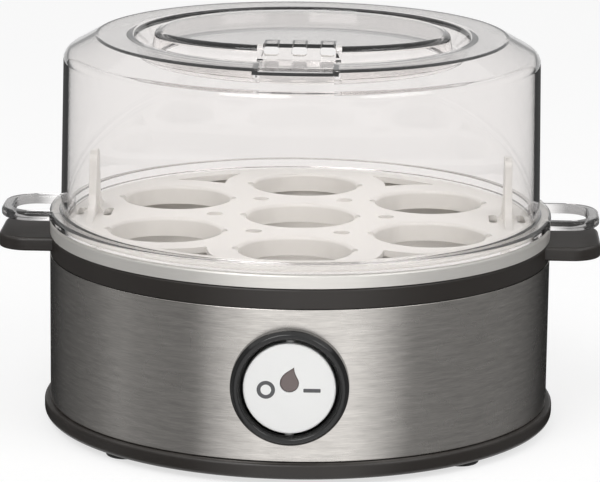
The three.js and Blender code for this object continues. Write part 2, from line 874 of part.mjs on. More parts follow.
function leadEnds() {
  const switchBlade = switchBackY() + seatGap + bladeLength + leadEndGap;
  const statBlade = statBodyRadius + bladeLength + leadEndGap;
  const statZ = clampZ - statBodyDrop + bladeThickness / 2;
  const elementEnd = tailReach + seatGap + bladeLength + leadEndGap;
  const pole = blockTopZ + seatGap;
  return {
    live: [-blockPitch, blockPlace, pole],
    earth: [0, blockPlace, pole],
    neutral: [blockPitch, blockPlace, pole],
    switchIn: [-switchPitch / 2, switchBlade, buttonZ],
    switchOut: [switchPitch / 2, switchBlade, buttonZ],
    statIn: [statBladePitch / 2, statBlade, statZ],
    statOut: [-statBladePitch / 2, statBlade, statZ],
    fuseFront: [fusePlace, -fuseLength / 2 - seatGap, fuseZ()],
    fuseBack: [fusePlace, fuseLength / 2 + seatGap, fuseZ()],
    elementLeft: [-tailSpread, elementEnd, elementZ],
    elementRight: [tailSpread, elementEnd, elementZ],
    tag: [studX, tagLength + leadEndGap, washerZ + washerThickness / 2],
  };
}

// How far a lead runs straight out of each end, as shares of the body's radius
const leadPullShare = 0.17;
const longPullShare = 0.36;

function pulled(point, x, y, z, share = leadPullShare) {
  const pull = share * bodyRadius;
  return [point[0] + x * pull, point[1] + y * pull, point[2] + z * pull];
}

function placeLeads(group) {
  const end = leadEnds();
  const leads = {
    live_lead: [end.live, pulled(end.live, 0, 0, 1), pulled(end.switchIn, 0, 1, -1, longPullShare),
      end.switchIn],
    switch_lead: [end.switchOut, pulled(end.switchOut, 0, 1, 1 / 2), pulled(end.fuseFront, 0, -1, 0),
      end.fuseFront],
    fuse_lead: [end.fuseBack, pulled(end.fuseBack, 0, 1, 0), pulled(end.statIn, 0, 1, 0), end.statIn],
    element_lead: [end.statOut, pulled(end.statOut, 0, 1, -1 / 2), pulled(end.elementLeft, 0, 1, -1 / 2),
      end.elementLeft],
    neutral_lead: [end.neutral, pulled(end.neutral, 0, 0, 1), pulled(end.elementRight, 0, 1, -1 / 2),
      end.elementRight],
    earth_lead: [end.earth, pulled(end.earth, 0, 0, 1), pulled(end.tag, 0, 1, 0), end.tag],
  };
  const colours = [0x7a4a2a, 0x222222, 0xe8e0d0, 0xe8e0d0, 0x2a52a0, 0x8fae30];
  Object.entries(leads).forEach(([name, corners], i) => {
    place(group, name, makeLead(...corners), finish(colours[i], 0.6, 0));
  });
}

// Tray, made round its own top face

function seatPlaces() {
  const step = 360 / seatCount;
  const outer = Array.from({ length: seatCount }, (_, i) => polar(seatRingRadius, seatAngle + step * i));
  return [[0, 0], ...outer];
}

function seatCutter() {
  const low = -skirtDrop - trayThickness - overrun;
  let cutter = turned([
    [0, low], [seatRadius, low], [seatRadius, -seatChamfer], [seatRadius + seatChamfer, 0],
    [seatRadius + seatChamfer, overrun], [0, overrun],
  ], seatSides);
  for (let i = 0; i < notchCount; i += 1) {
    const [x, y] = polar(seatRadius, (360 / notchCount) * i);
    cutter = cutter.add(post(notchRadius, low, overrun, x, y, notchSides));
  }
  return cutter;
}

// A steam slot between two seats and the rim; its sides keep the same distance from the seats
function steamSlot(angle) {
  const [seatX, seatY] = polar(seatRingRadius, seatAngle);
  const reach = seatRadius + slotMargin;
  const apex = -Math.asin(seatY / reach);
  const spread = (seatRingRadius ** 2 + reach ** 2 - slotOuter ** 2) / (2 * seatRingRadius * reach);
  const end = THREE.MathUtils.degToRad(seatAngle) - Math.PI + Math.acos(spread);
  const side = Array.from({ length: arcSegments + 1 }, (_, i) => {
    const turn = apex + ((end - apex) * i) / arcSegments;
    return [seatX + reach * Math.cos(turn), seatY + reach * Math.sin(turn)];
  });
  const mirrored = side.slice(1).reverse().map(([x, y]) => [x, -y]);
  const points = [...side, [slotOuter, 0], ...mirrored].map(([x, y]) => new THREE.Vector2(x, y));
  return slab(new THREE.Shape(points), -trayThickness - overrun, trayThickness + 2 * overrun)
    .rotate([0, 0, angle]);
}

function makeFin(side) {
  const half = finFoot / 2;
  const knee = finKnee / 2;
  const wide = finWidth / 2;
  const tip = finTip / 2;
  const crown = finHeight - tip;
  const low = -trayThickness / 2;
  const outline = [
    [-half, low], [half, low], [half, 0], [knee, finKneeHeight], [wide, finFlare], [tip, crown],
    [tip * Math.SQRT1_2, crown + tip * Math.SQRT1_2], [0, finHeight],
    [-tip * Math.SQRT1_2, crown + tip * Math.SQRT1_2], [-tip, crown], [-wide, finFlare],
    [-knee, finKneeHeight], [-half, 0],
  ];
  const blade = across(outline, finThickness, side * finPlace);
  const waist = buttressWaist / 2;
  const buttress = across([
    [-buttressWidth / 2, low], [buttressWidth / 2, low], [buttressWidth / 2, 0], [waist, buttressWaistHeight],
    [finThickness / 2, buttressHeight], [-finThickness / 2, buttressHeight], [-waist, buttressWaistHeight],
    [-buttressWidth / 2, 0],
  ], finThickness).rotate([0, 0, 90]);
  return blade.add(buttress.translate([side * finPlace, 0, 0]));
}

function makeTray() {
  let tray = turned([[0, -trayThickness], [trayRadius, -trayThickness], [trayRadius, 0], [0, 0]]);
  const locatorLow = -trayThickness - locatorDrop;
  const locatorInner = locatorOuter - locatorWall;
  tray = tray.add(ringOf(locatorInner, locatorOuter, locatorLow, -trayThickness / 2, coreSides));
  const low = -trayThickness - skirtDrop;
  const outer = seatRadius + skirtWall;
  for (const [x, y] of seatPlaces()) {
    tray = tray.add(post(outer, low, -trayThickness / 2, x, y, seatSides));
  }
  const cutter = seatCutter();
  for (const [x, y] of seatPlaces()) {
    tray = tray.subtract(cutter.translate([x, y, 0]));
  }
  for (let i = 0; i < seatCount; i += 1) {
    const [x, y] = polar(seatRingRadius / Math.sqrt(3), (360 / seatCount) * i);
    tray = tray.subtract(post(steamHoleRadius, low - overrun, overrun, x, y, notchSides));
  }
  for (const angle of slotAngles) {
    tray = tray.subtract(steamSlot(angle));
  }
  for (const side of [-1, 1]) {
    tray = tray.add(makeFin(side));
    for (const end of [-1, 1]) {
      const x = side * finPlace + end * drainOffset;
      tray = tray.subtract(post(drainRadius, low - overrun, overrun, x, 0, notchSides));
    }
  }
  return tray;
}

// Lid, made round the underside of its flange

function recessZ() {
  return lidTopHeight - recessDepth;
}

function lidOutline() {
  return [
    [lidFootRadius, 0], [lidShoulderRadius, lidShoulderHeight], [lidTopRadius, lidTopHeight],
    [recessRadius, lidTopHeight], [recessFloorRadius, recessZ()], [0, recessZ()],
  ];
}

function ovalPlug(length, width, low, high) {
  const height = high - low;
  const geometry = new THREE.CylinderGeometry(1, gripDraftShare, height, coreSides).rotateX(Math.PI / 2);
  return solid(geometry.scale(length / 2, width / 2, 1).translate(0, 0, low + height / 2));
}

// The steam channel's outline in Y and Z, grown by a wall for its lining
function channelOutline(grow) {
  const foot = lidTopHeight - channelInnerDrop;
  const slope = (channelInnerDrop - channelOuterDrop) / (lidTopRadius - ventWallFoot);
  const reach = lidTopRadius - ventWallFoot + overrun * 2;
  const top = lidTopHeight + gripRise;
  const wallTop = -ventWallFoot + ventWallSetback;
  return [
    [-ventWallFoot + grow, foot - grow], [-ventWallFoot - reach, foot + slope * reach - grow],
    [-ventWallFoot - reach, top + overrun], [wallTop + grow, top + overrun], [wallTop + grow, top],
  ];
}

function makeLid() {
  const outline = lidOutline();
  const top = lidTopHeight + gripRise;
  const foot = lidTopHeight - channelInnerDrop;
  const bridgeLow = recessZ() - lidWall / 2;
  const bridgeWidth = channelWidth + 2 * lidWall;
  const bridgeBack = -ventWallFoot + ventWallSetback;
  const envelope = joined([
    turned([...outline, [0, 0]]),
    ovalPlug(gripLength, gripWidth, bridgeLow, top),
    across([[bridgeBack, bridgeLow], [bridgeBack, foot], [-recessRadius, foot], [-recessRadius, bridgeLow]],
      bridgeWidth),
  ]);
  const inside = offsetLine(outline, lidWall);
  const cavity = joined([
    turned([[inside[0][0], -overrun], ...inside, [0, -overrun]]),
    ovalPlug(gripLength - 2 * lidWall, gripWidth - 2 * lidWall, bridgeLow - lidWall, top - lidWall),
    across([[bridgeBack, bridgeLow - lidWall], [bridgeBack, foot - lidWall],
      [-recessFloorRadius, foot - lidWall], [-recessFloorRadius, bridgeLow - lidWall]],
    channelWidth),
  ]);
  const lining = across(channelOutline(lidWall), bridgeWidth);
  const channel = across(channelOutline(0), channelWidth);
  const slotZ = foot + (channelInnerDrop + gripRise - steamSlotHeight) / 2;
  let lid = envelope.subtract(cavity.subtract(lining)).subtract(channel);
  for (const x of [-steamSlotPitch, 0, steamSlotPitch]) {
    const slot = block(steamSlotWidth, channelWidth, steamSlotHeight, slotZ);
    lid = lid.subtract(slot.translate([x, -ventWallFoot + ventWallSetback / 2, 0]));
  }
  const flange = turned([
    [lidInside, 0], [flangeRadius, 0], [flangeRadius, flangeThickness - flangeRound],
    [flangeRadius - flangeRound, flangeThickness], [lidInside, flangeThickness],
  ]);
  const loop = slab(lugShape(lidFootRadius, loopReach, loopWidth, loopCorner), 0, flangeThickness);
  const holeShape = lugShape(flangeRadius + slideGap, loopReach - loopBand, loopWidth - 2 * loopBand,
    loopCorner - loopBand);
  const hole = slab(holeShape, -overrun, flangeThickness + 2 * overrun);
  return joined([lid, flange, mirroredX(loop)]).subtract(mirroredX(hole));
}

// Assembly

const blackPlastic = () => finish(0x1f1f20, 0.45, 0);
const steel = () => finish(0xc4c2bd, 0.35, 1);
const zincSteel = () => finish(0xaeb1b5, 0.4, 1);
const tinnedBrass = () => finish(0xcfcfca, 0.35, 1);

// A left and a right copy of one piece, each its own node
function placePair(group, name, make, material) {
  place(group, `${name}_left`, make(-1), material());
  place(group, `${name}_right`, make(1), material());
}

function placeBase(group) {
  place(group, 'base_pan', makeBasePan(), blackPlastic());
  footPlaces().forEach((at, i) => place(group, `foot_pad_${i + 1}`, makeFoot(at), finish(0x141414, 0.9, 0)));
  postPlaces().forEach((at, i) => place(group, `base_screw_${i + 1}`, makeBaseScrew(at), zincSteel()));
  place(group, 'steel_band', makeSteelBand(), steel());
  place(group, 'upper_ring', makeUpperRing(), blackPlastic());
  place(group, 'heating_dish', makeDish(), finish(0xd8d8d6, 0.3, 1));
  place(group, 'dish_gasket', makeGasket(), finish(0xb8b4ac, 0.8, 0));
}

function placeHeater(group) {
  const plate = ringOf(plateBore, plateRadius, plateZ, plateTopZ, coreSides);
  place(group, 'heater_plate', plate, finish(0xb9bcc0, 0.5, 1));
  place(group, 'heating_element', makeElement(), finish(0x7d7a75, 0.5, 1));
  placePair(group, 'element_terminal', makeElementTerminal, tinnedBrass);
  place(group, 'heater_clamp', makeHeaterClamp(), zincSteel());
  placePair(group, 'clamp_nut', (side) => makeNut(side, upperNutZ), zincSteel);
  placePair(group, 'shield_spacer', makeSpacer, zincSteel);
  placePair(group, 'shield_nut', (side) => makeNut(side, lowerNutZ), zincSteel);
  place(group, 'stud_washer', makeWasher().translate([-studX, 0, 0]), zincSteel());
  place(group, 'earth_tag', makeEarthTag(), finish(0xc9a95a, 0.4, 1));
  place(group, 'thermostat', makeThermostat(), finish(0xd9d2c0, 0.5, 0));
  place(group, 'thermal_fuse', makeFuse(), finish(0xe4e0d4, 0.5, 0));
  place(group, 'fuse_clip', makeFuseClip(), zincSteel());
  place(group, 'heat_shield', makeHeatShield(), finish(0xbfc1c4, 0.4, 1));
}

function placeMainsEntry(group) {
  place(group, 'terminal_block', makeTerminalBlock(), finish(0xe6e2d6, 0.6, 0));
  place(group, 'cord_gland', makeGland(), blackPlastic());
  place(group, 'cord_clamp', makeCordClamp(), blackPlastic());
  placePair(group, 'clamp_screw', makeClampScrew, zincSteel);
  placeLeads(group);
}

function placeSwitch(group) {
  place(group, 'button_bezel', makeBezel(), finish(0x121213, 0.2, 0));
  place(group, 'saddle_washer', makeSaddleWasher(), blackPlastic());
  place(group, 'bezel_nut', makeBezelNut(), blackPlastic());
  place(group, 'rocker_button', makeRocker(), finish(0xe9e9e6, 0.35, 0));
  place(group, 'indicator_lens', makeLens(), finish(0x6e605c, 0.2, 0, 0.9));
  place(group, 'indicator_lamp', makeLamp(), finish(0xe0a070, 0.2, 0, 0.7));
  place(group, 'switch_body', makeSwitchBody(), blackPlastic());
  placePair(group, 'switch_terminal', makeSwitchTerminal, tinnedBrass);
}

const boiler = new THREE.Group();
const base = new THREE.Group();
const buttonUnit = new THREE.Group();
const tray = new THREE.Group();
const lid = new THREE.Group();
buttonUnit.position.z = buttonZ;
tray.position.z = trayZ;
lid.position.z = lidZ - trayZ;
base.add(buttonUnit);
tray.add(lid);
boiler.add(base, tray);

placeBase(base);
placeHeater(base);
placeMainsEntry(base);
placeSwitch(buttonUnit);
place(tray, 'egg_tray', makeTray(), finish(0xf2f1ee, 0.45, 0));
place(lid, 'lid', makeLid(), finish(0xe8eef0, 0.05, 0, 0.3));

export default boiler;
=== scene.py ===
"""Looks of a seven-egg steam boiler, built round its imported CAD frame.

Every size in the classes is in millimetres, counted from the point on the table under the middle
of the body, with the button towards -Y. Meshes are scaled to metres when a piece is finished.
Materials and the studio's floor, cards and lamps are in metres. Points closer than DOUBLES are merged when
a solid is made, and closer than WELD when it is finished. A cutter reaches past what it cuts by CLEAR.
One round corner takes up no more than CORNER_SHARE of a side.
"""

from __future__ import annotations

import json
import logging
import math
from dataclasses import dataclass, field
from enum import Enum
from typing import Any, ClassVar, Sequence

import bmesh
import bpy
from mathutils import Matrix, Vector


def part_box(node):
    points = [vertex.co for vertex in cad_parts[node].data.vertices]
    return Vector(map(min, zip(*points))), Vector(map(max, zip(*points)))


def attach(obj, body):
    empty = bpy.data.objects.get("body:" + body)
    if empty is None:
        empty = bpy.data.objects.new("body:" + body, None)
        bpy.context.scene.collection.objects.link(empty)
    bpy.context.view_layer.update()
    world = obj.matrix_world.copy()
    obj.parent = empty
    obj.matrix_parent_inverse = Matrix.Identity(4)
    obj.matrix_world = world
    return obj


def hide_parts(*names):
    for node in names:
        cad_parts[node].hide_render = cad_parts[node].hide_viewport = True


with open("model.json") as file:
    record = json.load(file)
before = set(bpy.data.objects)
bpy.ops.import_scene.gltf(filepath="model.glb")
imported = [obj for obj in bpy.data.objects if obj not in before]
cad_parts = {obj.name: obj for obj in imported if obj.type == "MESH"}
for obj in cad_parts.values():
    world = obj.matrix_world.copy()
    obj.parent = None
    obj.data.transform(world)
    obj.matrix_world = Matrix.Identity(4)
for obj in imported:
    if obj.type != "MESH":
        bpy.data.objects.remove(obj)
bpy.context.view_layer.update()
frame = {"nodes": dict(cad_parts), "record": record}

METRE = 0.001
DOUBLES = 1e-5
WELD = 1e-4
CLEAR = 1.0
CORNER_SHARE = 0.49
LOG = logging.getLogger("egg_boiler")

Point = tuple[float, float]
Spot = tuple[float, float, float]
Colour = tuple[float, float, float]
Corner = tuple[float, float, float]


class Body(Enum):
    """The CAD bodies that pieces ride on."""

    ROOT = "root"
    TRAY = "tray"
    LID = "lid"
    ROCKER = "rocker"


class Slot(Enum):
    """The record's material slots."""

    BASE_BLACK = "base_black"
    BEZEL_BLACK = "bezel_black"
    FOOT_RUBBER = "foot_rubber"
    BAND_STEEL = "band_steel"
    DISH_STEEL = "dish_steel"
    GASKET_SILICONE = "gasket_silicone"
    CAST_ALUMINIUM = "cast_aluminium"
    SHIELD_SHEET = "shield_sheet"
    ELEMENT_SHEATH = "element_sheath"
    PLATED_STEEL = "plated_steel"
    TINNED_BRASS = "tinned_brass"
    PALE_MOULDING = "pale_moulding"
    LEAD_COVER = "lead_cover"
    BUTTON_WHITE = "button_white"
    LENS_SMOKE = "lens_smoke"
    LAMP_GLASS = "lamp_glass"
    TRAY_WHITE = "tray_white"
    LID_CLEAR = "lid_clear"


class Axis(Enum):
    """The axis that a turned form goes round."""

    UP = "Z"
    DEPTH = "Y"


class Join(Enum):
    """What a second solid does to the first."""

    ADD = "UNION"
    CUT = "DIFFERENCE"
    KEEP = "INTERSECT"


def placed(name: str, data: bpy.types.ID) -> bpy.types.Object:
    """Makes an object of its data and links it to the scene.

    Args:
        name: The object's name.
        data: Its mesh, camera or lamp.

    Returns:
        The new object.
    """
    made = bpy.data.objects.new(name, data)
    bpy.context.scene.collection.objects.link(made)
    return made


# Node trees


class Plan:
    """A node tree that is being drawn up, for a shader group, a material or geometry."""

    def __init__(self, tree: bpy.types.NodeTree) -> None:
        """Starts on an empty tree."""
        self.tree = tree
        self.tree.nodes.clear()

    @classmethod
    def group(cls, name: str, kind: str) -> Plan:
        """Makes a new node group of that kind."""
        return cls(bpy.data.node_groups.new(name, kind))

    @classmethod
    def effect(cls, name: str, outputs: Sequence[str], **inputs: float) -> Plan:
        """Starts a shader group that reads a place on the piece.

        Args:
            name: The group's name.
            outputs: The names of its outputs.
            **inputs: Its other inputs with their values, with spaces as underscores.

        Returns:
            The group's plan.
        """
        plan = cls.group(name, "ShaderNodeTree")
        plan.socket("Place", "Vector")
        for label, value in inputs.items():
            plan.socket(label.replace("_", " "), "Float", value)
        for label in outputs:
            plan.socket(label, "Float", out=True)
        return plan

    @classmethod
    def material(cls, name: str) -> tuple[Plan, bpy.types.Material]:
        """Makes a new material and starts on its tree.

        Args:
            name: The material's name.

        Returns:
            The plan of its tree, and the material.
        """
        made = bpy.data.materials.new(name)
        made.use_nodes = True
        return cls(made.node_tree), made

    def socket(self, name: str, kind: str, value: Any = None, out: bool = False) -> str:
        """Adds a named input or output to the group.

        Args:
            name: The socket's name.
            kind: The last part of Blender's socket type, such as "Float".
            value: The input's value where nothing is linked.
            out: True for an output.

        Returns:
            The socket's identifier.
        """
        made = self.tree.interface.new_socket(
            name, in_out="OUTPUT" if out else "INPUT", socket_type=f"NodeSocket{kind}"
        )
        if value is not None:
            made.default_value = value
        return made.identifier

    def node(self, kind: str, settings: dict[str, Any] | None = None, **inputs: Any) -> bpy.types.Node:
        """Adds a node and fills its inputs.

        Args:
            kind: Blender's node type.
            settings: Properties of the node, such as its operation.
            **inputs: Values or sockets by input name, with spaces as underscores, or in0, in1 by place.

        Returns:
            The new node.
        """
        node = self.tree.nodes.new(kind)
        for key, value in (settings or {}).items():
            setattr(node, key, value)
        for key, value in inputs.items():
            place = int(key[2:]) if key[:2] == "in" and key[2:].isdigit() else key.replace("_", " ")
            self.feed(node.inputs[place], value)
        return node

    def feed(self, socket: bpy.types.NodeSocket, value: Any) -> None:
        """Links a socket to another, or sets its value.

        Args:
            socket: The input.
            value: An output, a node whose first output it is, or a plain value.
        """
        if isinstance(value, bpy.types.NodeSocket):
            self.tree.links.new(value, socket)
        elif isinstance(value, bpy.types.Node):
            self.tree.links.new(value.outputs[0], socket)
        else:
            socket.default_value = value

    def math(self, operation: str, first: Any, second: Any = 0.0, third: Any = 0.5) -> bpy.types.NodeSocket:
        """Adds a Math node and returns its result."""
        node = self.node("ShaderNodeMath", {"operation": operation}, in0=first, in1=second, in2=third)
        return node.outputs[0]

    def vector(self, operation: str, first: Any, second: Any = (0.0, 0.0, 0.0)) -> bpy.types.Node:
        """Adds a Vector Math node."""
        return self.node("ShaderNodeVectorMath", {"operation": operation}, in0=first, in1=second)

    def remap(self, value: Any, low: float, high: float, new_low: Any, new_high: Any) -> bpy.types.NodeSocket:
        """Adds a Map Range node and returns its result."""
        return self.node("ShaderNodeMapRange", {"clamp": True}, in0=value, in1=low, in2=high,
                         in3=new_low, in4=new_high).outputs[0]

    def blend(self, share: Any, first: Any, second: Any, kind: str = "MIX") -> bpy.types.NodeSocket:
        """Mixes two colours by a share, in one of Blender's blend types."""
        settings = {"data_type": "RGBA", "blend_type": kind}
        return self.node("ShaderNodeMix", settings, in0=share, in6=first, in7=second).outputs[2]

    def mix(self, share: Any, first: bpy.types.Node, second: bpy.types.Node) -> bpy.types.Node:
        """Mixes two shaders by a share."""
        return self.node("ShaderNodeMixShader", None, in0=share, in1=first, in2=second)

    def noise(self, where: Any, scale: Any, detail: float = 2.0, rough: float = 0.5) -> bpy.types.NodeSocket:
        """Adds a Noise texture and returns its value."""
        return self.node("ShaderNodeTexNoise", None, Vector=where, Scale=scale, Detail=detail,
                         Roughness=rough).outputs[0]


class ShaderKit:
    """The effect groups that the finishes share."""

    def __init__(self) -> None:
        """Builds every group once."""
        self.brushing = self._brushing()
        self.grain = self._grain()
        self.wear = self._wear()
        self.dust = self._dust()
        self.handling = self._handling()

    @staticmethod
    def _brushing() -> bpy.types.NodeTree:
        """Fine lines round the body's axis, as a brushing belt leaves them.

        Returns:
            The group's tree.
        """
        plan = Plan.effect("brushing", ("Tone", "Height"), Radius=0.0925, Line_Height=0.00025,
                           Line_Length=0.02, Contrast=0.1)
        start = plan.node("NodeGroupInput").outputs
        axes = plan.node("ShaderNodeSeparateXYZ", None, in0=start["Place"]).outputs
        turn = plan.math("ARCTAN2", axes[0], plan.math("MULTIPLY", axes[1], -1.0))
        along = plan.math("DIVIDE", plan.math("MULTIPLY", turn, start["Radius"]), start["Line Length"])
        squares = plan.math("ADD", plan.math("POWER", axes[0], 2.0), plan.math("POWER", axes[1], 2.0))
        flat = plan.math("SQRT", squares)
        up = plan.math("DIVIDE", plan.math("ADD", axes[2], flat), start["Line Height"])
        lines = plan.node("ShaderNodeCombineXYZ", None, in0=along, in1=up)
        fine = plan.noise(lines, 1.0, 3.0, 0.6)
        wide = plan.noise(plan.vector("MULTIPLY", lines, (0.35, 0.22, 1.0)), 1.0, 2.0)
        both = plan.math("ADD", plan.math("MULTIPLY", fine, 0.6), plan.math("MULTIPLY", wide, 0.4))
        tone = plan.remap(both, 0.3, 0.7, plan.math("SUBTRACT", 1.0, start["Contrast"]), 1.0)
        plan.node("NodeGroupOutput", None, Tone=tone, Height=both)
        return plan.tree

    @staticmethod
    def _grain() -> bpy.types.NodeTree:
        """The fine skin that a mould leaves on plastic or rubber.

        Returns:
            The group's tree.
        """
        plan = Plan.effect("mould_grain", ("Height", "Tone"), Scale=2500.0, Unevenness=0.5)
        start = plan.node("NodeGroupInput").outputs
        fine = plan.noise(start["Place"], start["Scale"], 2.0, 0.6)
        cells = plan.node("ShaderNodeTexVoronoi", {"feature": "SMOOTH_F1"}, Vector=start["Place"],
                          Scale=plan.math("MULTIPLY", start["Scale"], 0.6)).outputs[0]
        flow = plan.noise(start["Place"], plan.math("MULTIPLY", start["Scale"], 0.02), 3.0)
        height = plan.math("ADD", plan.math("MULTIPLY", fine, 0.6), plan.math("MULTIPLY", cells, 0.4))
        even = plan.math("SUBTRACT", 1.0, start["Unevenness"])
        tone = plan.math("ADD", even, plan.math("MULTIPLY", flow, start["Unevenness"]))
        plan.node("NodeGroupOutput", None, Height=height, Tone=tone)
        return plan.tree

    @staticmethod
    def _wear() -> bpy.types.NodeTree:
        """A mask of rubbed outer edges, broken up by noise.

        Returns:
            The group's tree.
        """
        plan = Plan.effect("edge_wear", ("Mask",), Amount=0.3)
        start = plan.node("NodeGroupInput").outputs
        point = plan.node("ShaderNodeNewGeometry").outputs["Pointiness"]
        edge = plan.remap(point, 0.52, 0.6, 0.0, 1.0)
        worn = plan.remap(plan.noise(start["Place"], 180.0, 4.0), 0.4, 0.65, 0.0, 1.0)
        mask = plan.math("MULTIPLY", plan.math("MULTIPLY", edge, worn), start["Amount"])
        plan.node("NodeGroupOutput", None, Mask=mask)
        return plan.tree

    @staticmethod
    def _dust() -> bpy.types.NodeTree:
        """A mask of dust and dried water haze on faces that look up.

        Returns:
            The group's tree.
        """
        plan = Plan.effect("settled_dust", ("Mask",), Amount=0.1)
        start = plan.node("NodeGroupInput").outputs
        normal = plan.node("ShaderNodeNewGeometry").outputs["Normal"]
        rise = plan.node("ShaderNodeSeparateXYZ", None, in0=normal).outputs[2]
        upward = plan.remap(rise, 0.2, 1.0, 0.0, 1.0)
        spread = plan.remap(plan.noise(start["Place"], 60.0, 5.0, 0.65), 0.35, 0.75, 0.0, 1.0)
        mask = plan.math("MULTIPLY", plan.math("MULTIPLY", upward, spread), start["Amount"])
        plan.node("NodeGroupOutput", None, Mask=mask)
        return plan.tree

    @staticmethod
    def _handling() -> bpy.types.NodeTree:
        """Soft patches where hands and cloths have changed the gloss.

        Returns:
            The group's tree.
        """
        plan = Plan.effect("handling_marks", ("Roughness",), Base=0.3, Spread=0.05)
        start = plan.node("NodeGroupInput").outputs
        patch = plan.math("SUBTRACT", plan.noise(start["Place"], 28.0, 4.0, 0.55), 0.5)
        shift = plan.math("MULTIPLY", patch, plan.math("MULTIPLY", start["Spread"], 2.0))
        plan.node("NodeGroupOutput", None, Roughness=plan.math("ADD", start["Base"], shift))
        return plan.tree


@dataclass(frozen=True)
class Draft:
    """A material being drawn up: its tree, the shared groups, the place on the piece and the shader."""

    plan: Plan
    kit: ShaderKit
    place: bpy.types.NodeSocket
    shader: bpy.types.Node

    def effect(self, tree: bpy.types.NodeTree, **inputs: float) -> bpy.types.Node:
        """Places a shared effect group with its own values."""
        return self.plan.node("ShaderNodeGroup", {"node_tree": tree}, Place=self.place, **inputs)

    def fix(self, **inputs: float) -> None:
        """Sets values on the shader's own sockets."""
        for name, value in inputs.items():
            self.shader.inputs[name.replace("_", " ")].default_value = value

    def bump(self, height: bpy.types.NodeSocket, strength: float, distance: float) -> None:
        """Raises the surface by a height."""
        normal = self.plan.node("ShaderNodeBump", None, Height=height, Strength=strength, Distance=distance)
        self.plan.feed(self.shader.inputs["Normal"], normal)


@dataclass(frozen=True)
class Finish:
    """What every finish has: a colour, a gloss and the marks of use."""

    colour: Colour
    roughness: float
    spread: float = 0.05
    wear: float = 0.0
    wear_colour: Colour = (0.5, 0.5, 0.5)
    dust: float = 0.0
    dust_colour: Colour = (0.62, 0.6, 0.57)
    sheen: float = 0.5

    def material(self, name: str, kit: ShaderKit) -> bpy.types.Material:
        """Builds the finish as a material.

        Args:
            name: The material's name.
            kit: The shared effect groups.

        Returns:
            The new material.
        """
        plan, made = Plan.material(name)
        place = plan.node("ShaderNodeTexCoord").outputs["Object"]
        shader = plan.node("ShaderNodeBsdfPrincipled", None, Specular_IOR_Level=self.sheen)
        draft = Draft(plan, kit, place, shader)
        rough = draft.effect(kit.handling, Base=self.roughness, Spread=self.spread)
        plan.feed(shader.inputs["Roughness"], rough)
        colour = self.surface(draft)
        layers = ((self.wear, kit.wear, self.wear_colour), (self.dust, kit.dust, self.dust_colour))
        for amount, tree, over in layers:
            if amount:
                colour = plan.blend(draft.effect(tree, Amount=amount), colour, (*over, 1.0))
        plan.feed(shader.inputs["Base Color"], colour)
        self.output(plan, shader)
        made.diffuse_color = (*self.colour, 1.0)
        return made

    def surface(self, draft: Draft) -> bpy.types.NodeSocket:
        """Sets what is special to the finish and returns its colour before wear and dust."""
        return self.plain(draft.plan)

    def plain(self, plan: Plan) -> bpy.types.NodeSocket:
        """The finish's own colour as a socket."""
        node = plan.node("ShaderNodeRGB")
        node.outputs[0].default_value = (*self.colour, 1.0)
        return node.outputs[0]

    def toned(self, plan: Plan, tone: bpy.types.NodeSocket) -> bpy.types.NodeSocket:
        """The finish's own colour, made lighter and darker by a tone."""
        return plan.blend(1.0, self.plain(plan), tone, "MULTIPLY")

    def output(self, plan: Plan, shader: bpy.types.Node) -> None:
        """Links the shader to the material's output."""
        plan.node("ShaderNodeOutputMaterial", None, Surface=shader)


@dataclass(frozen=True)
class BrushedMetal(Finish):
    """Stainless steel brushed round the body's axis."""

    radius: float = 0.0925
    line_height: float = 0.00034
    line_length: float = 0.0055
    contrast: float = 0.34
    metallic: float = 1.0
    anisotropy: float = 0.7
    gloss_turn: float = 0.25
    relief: float = 0.12
    depth: float = 0.00005

    def surface(self, draft: Draft) -> bpy.types.NodeSocket:
        """Adds the brushed lines to the colour and the relief.

        Args:
            draft: The draft to work on.

        Returns:
            The colour.
        """
        lines = draft.effect(draft.kit.brushing, Radius=self.radius, Line_Height=self.line_height,
                             Line_Length=self.line_length, Contrast=self.contrast).outputs
        draft.fix(Metallic=self.metallic, Anisotropic=self.anisotropy, Anisotropic_Rotation=self.gloss_turn)
        draft.bump(lines["Height"], self.relief, self.depth)
        return self.toned(draft.plan, lines["Tone"])


@dataclass(frozen=True)
class SheetMetal(Finish):
    """Plated, cast or heat-darkened metal of the inner works."""

    grain: float = 900.0
    unevenness: float = 0.35
    relief: float = 0.15
    depth: float = 0.0001

    def surface(self, draft: Draft) -> bpy.types.NodeSocket:
        """Adds a fine uneven skin.

        Args:
            draft: The draft to work on.

        Returns:
            The colour.
        """
        skin = draft.effect(draft.kit.grain, Scale=self.grain, Unevenness=self.unevenness).outputs
        draft.fix(Metallic=1.0)
        draft.bump(skin["Height"], self.relief, self.depth)
        return self.toned(draft.plan, skin["Tone"])


@dataclass(frozen=True)
class Moulding(Finish):
    """Moulded plastic or rubber with a fine skin, and a clear gloss where it has one."""

    grain: float = 2600.0
    relief: float = 0.12
    depth: float = 0.00006
    unevenness: float = 0.2
    coat: float = 0.0
    coat_roughness: float = 0.06

    def surface(self, draft: Draft) -> bpy.types.NodeSocket:
        """Adds the mould's skin and the gloss.

        Args:
            draft: The draft to work on.

        Returns:
            The colour.
        """
        skin = draft.effect(draft.kit.grain, Scale=self.grain, Unevenness=self.unevenness).outputs
        draft.fix(Coat_Weight=self.coat, Coat_Roughness=self.coat_roughness)
        draft.bump(skin["Height"], self.relief, self.depth)
        return self.toned(draft.plan, skin["Tone"])


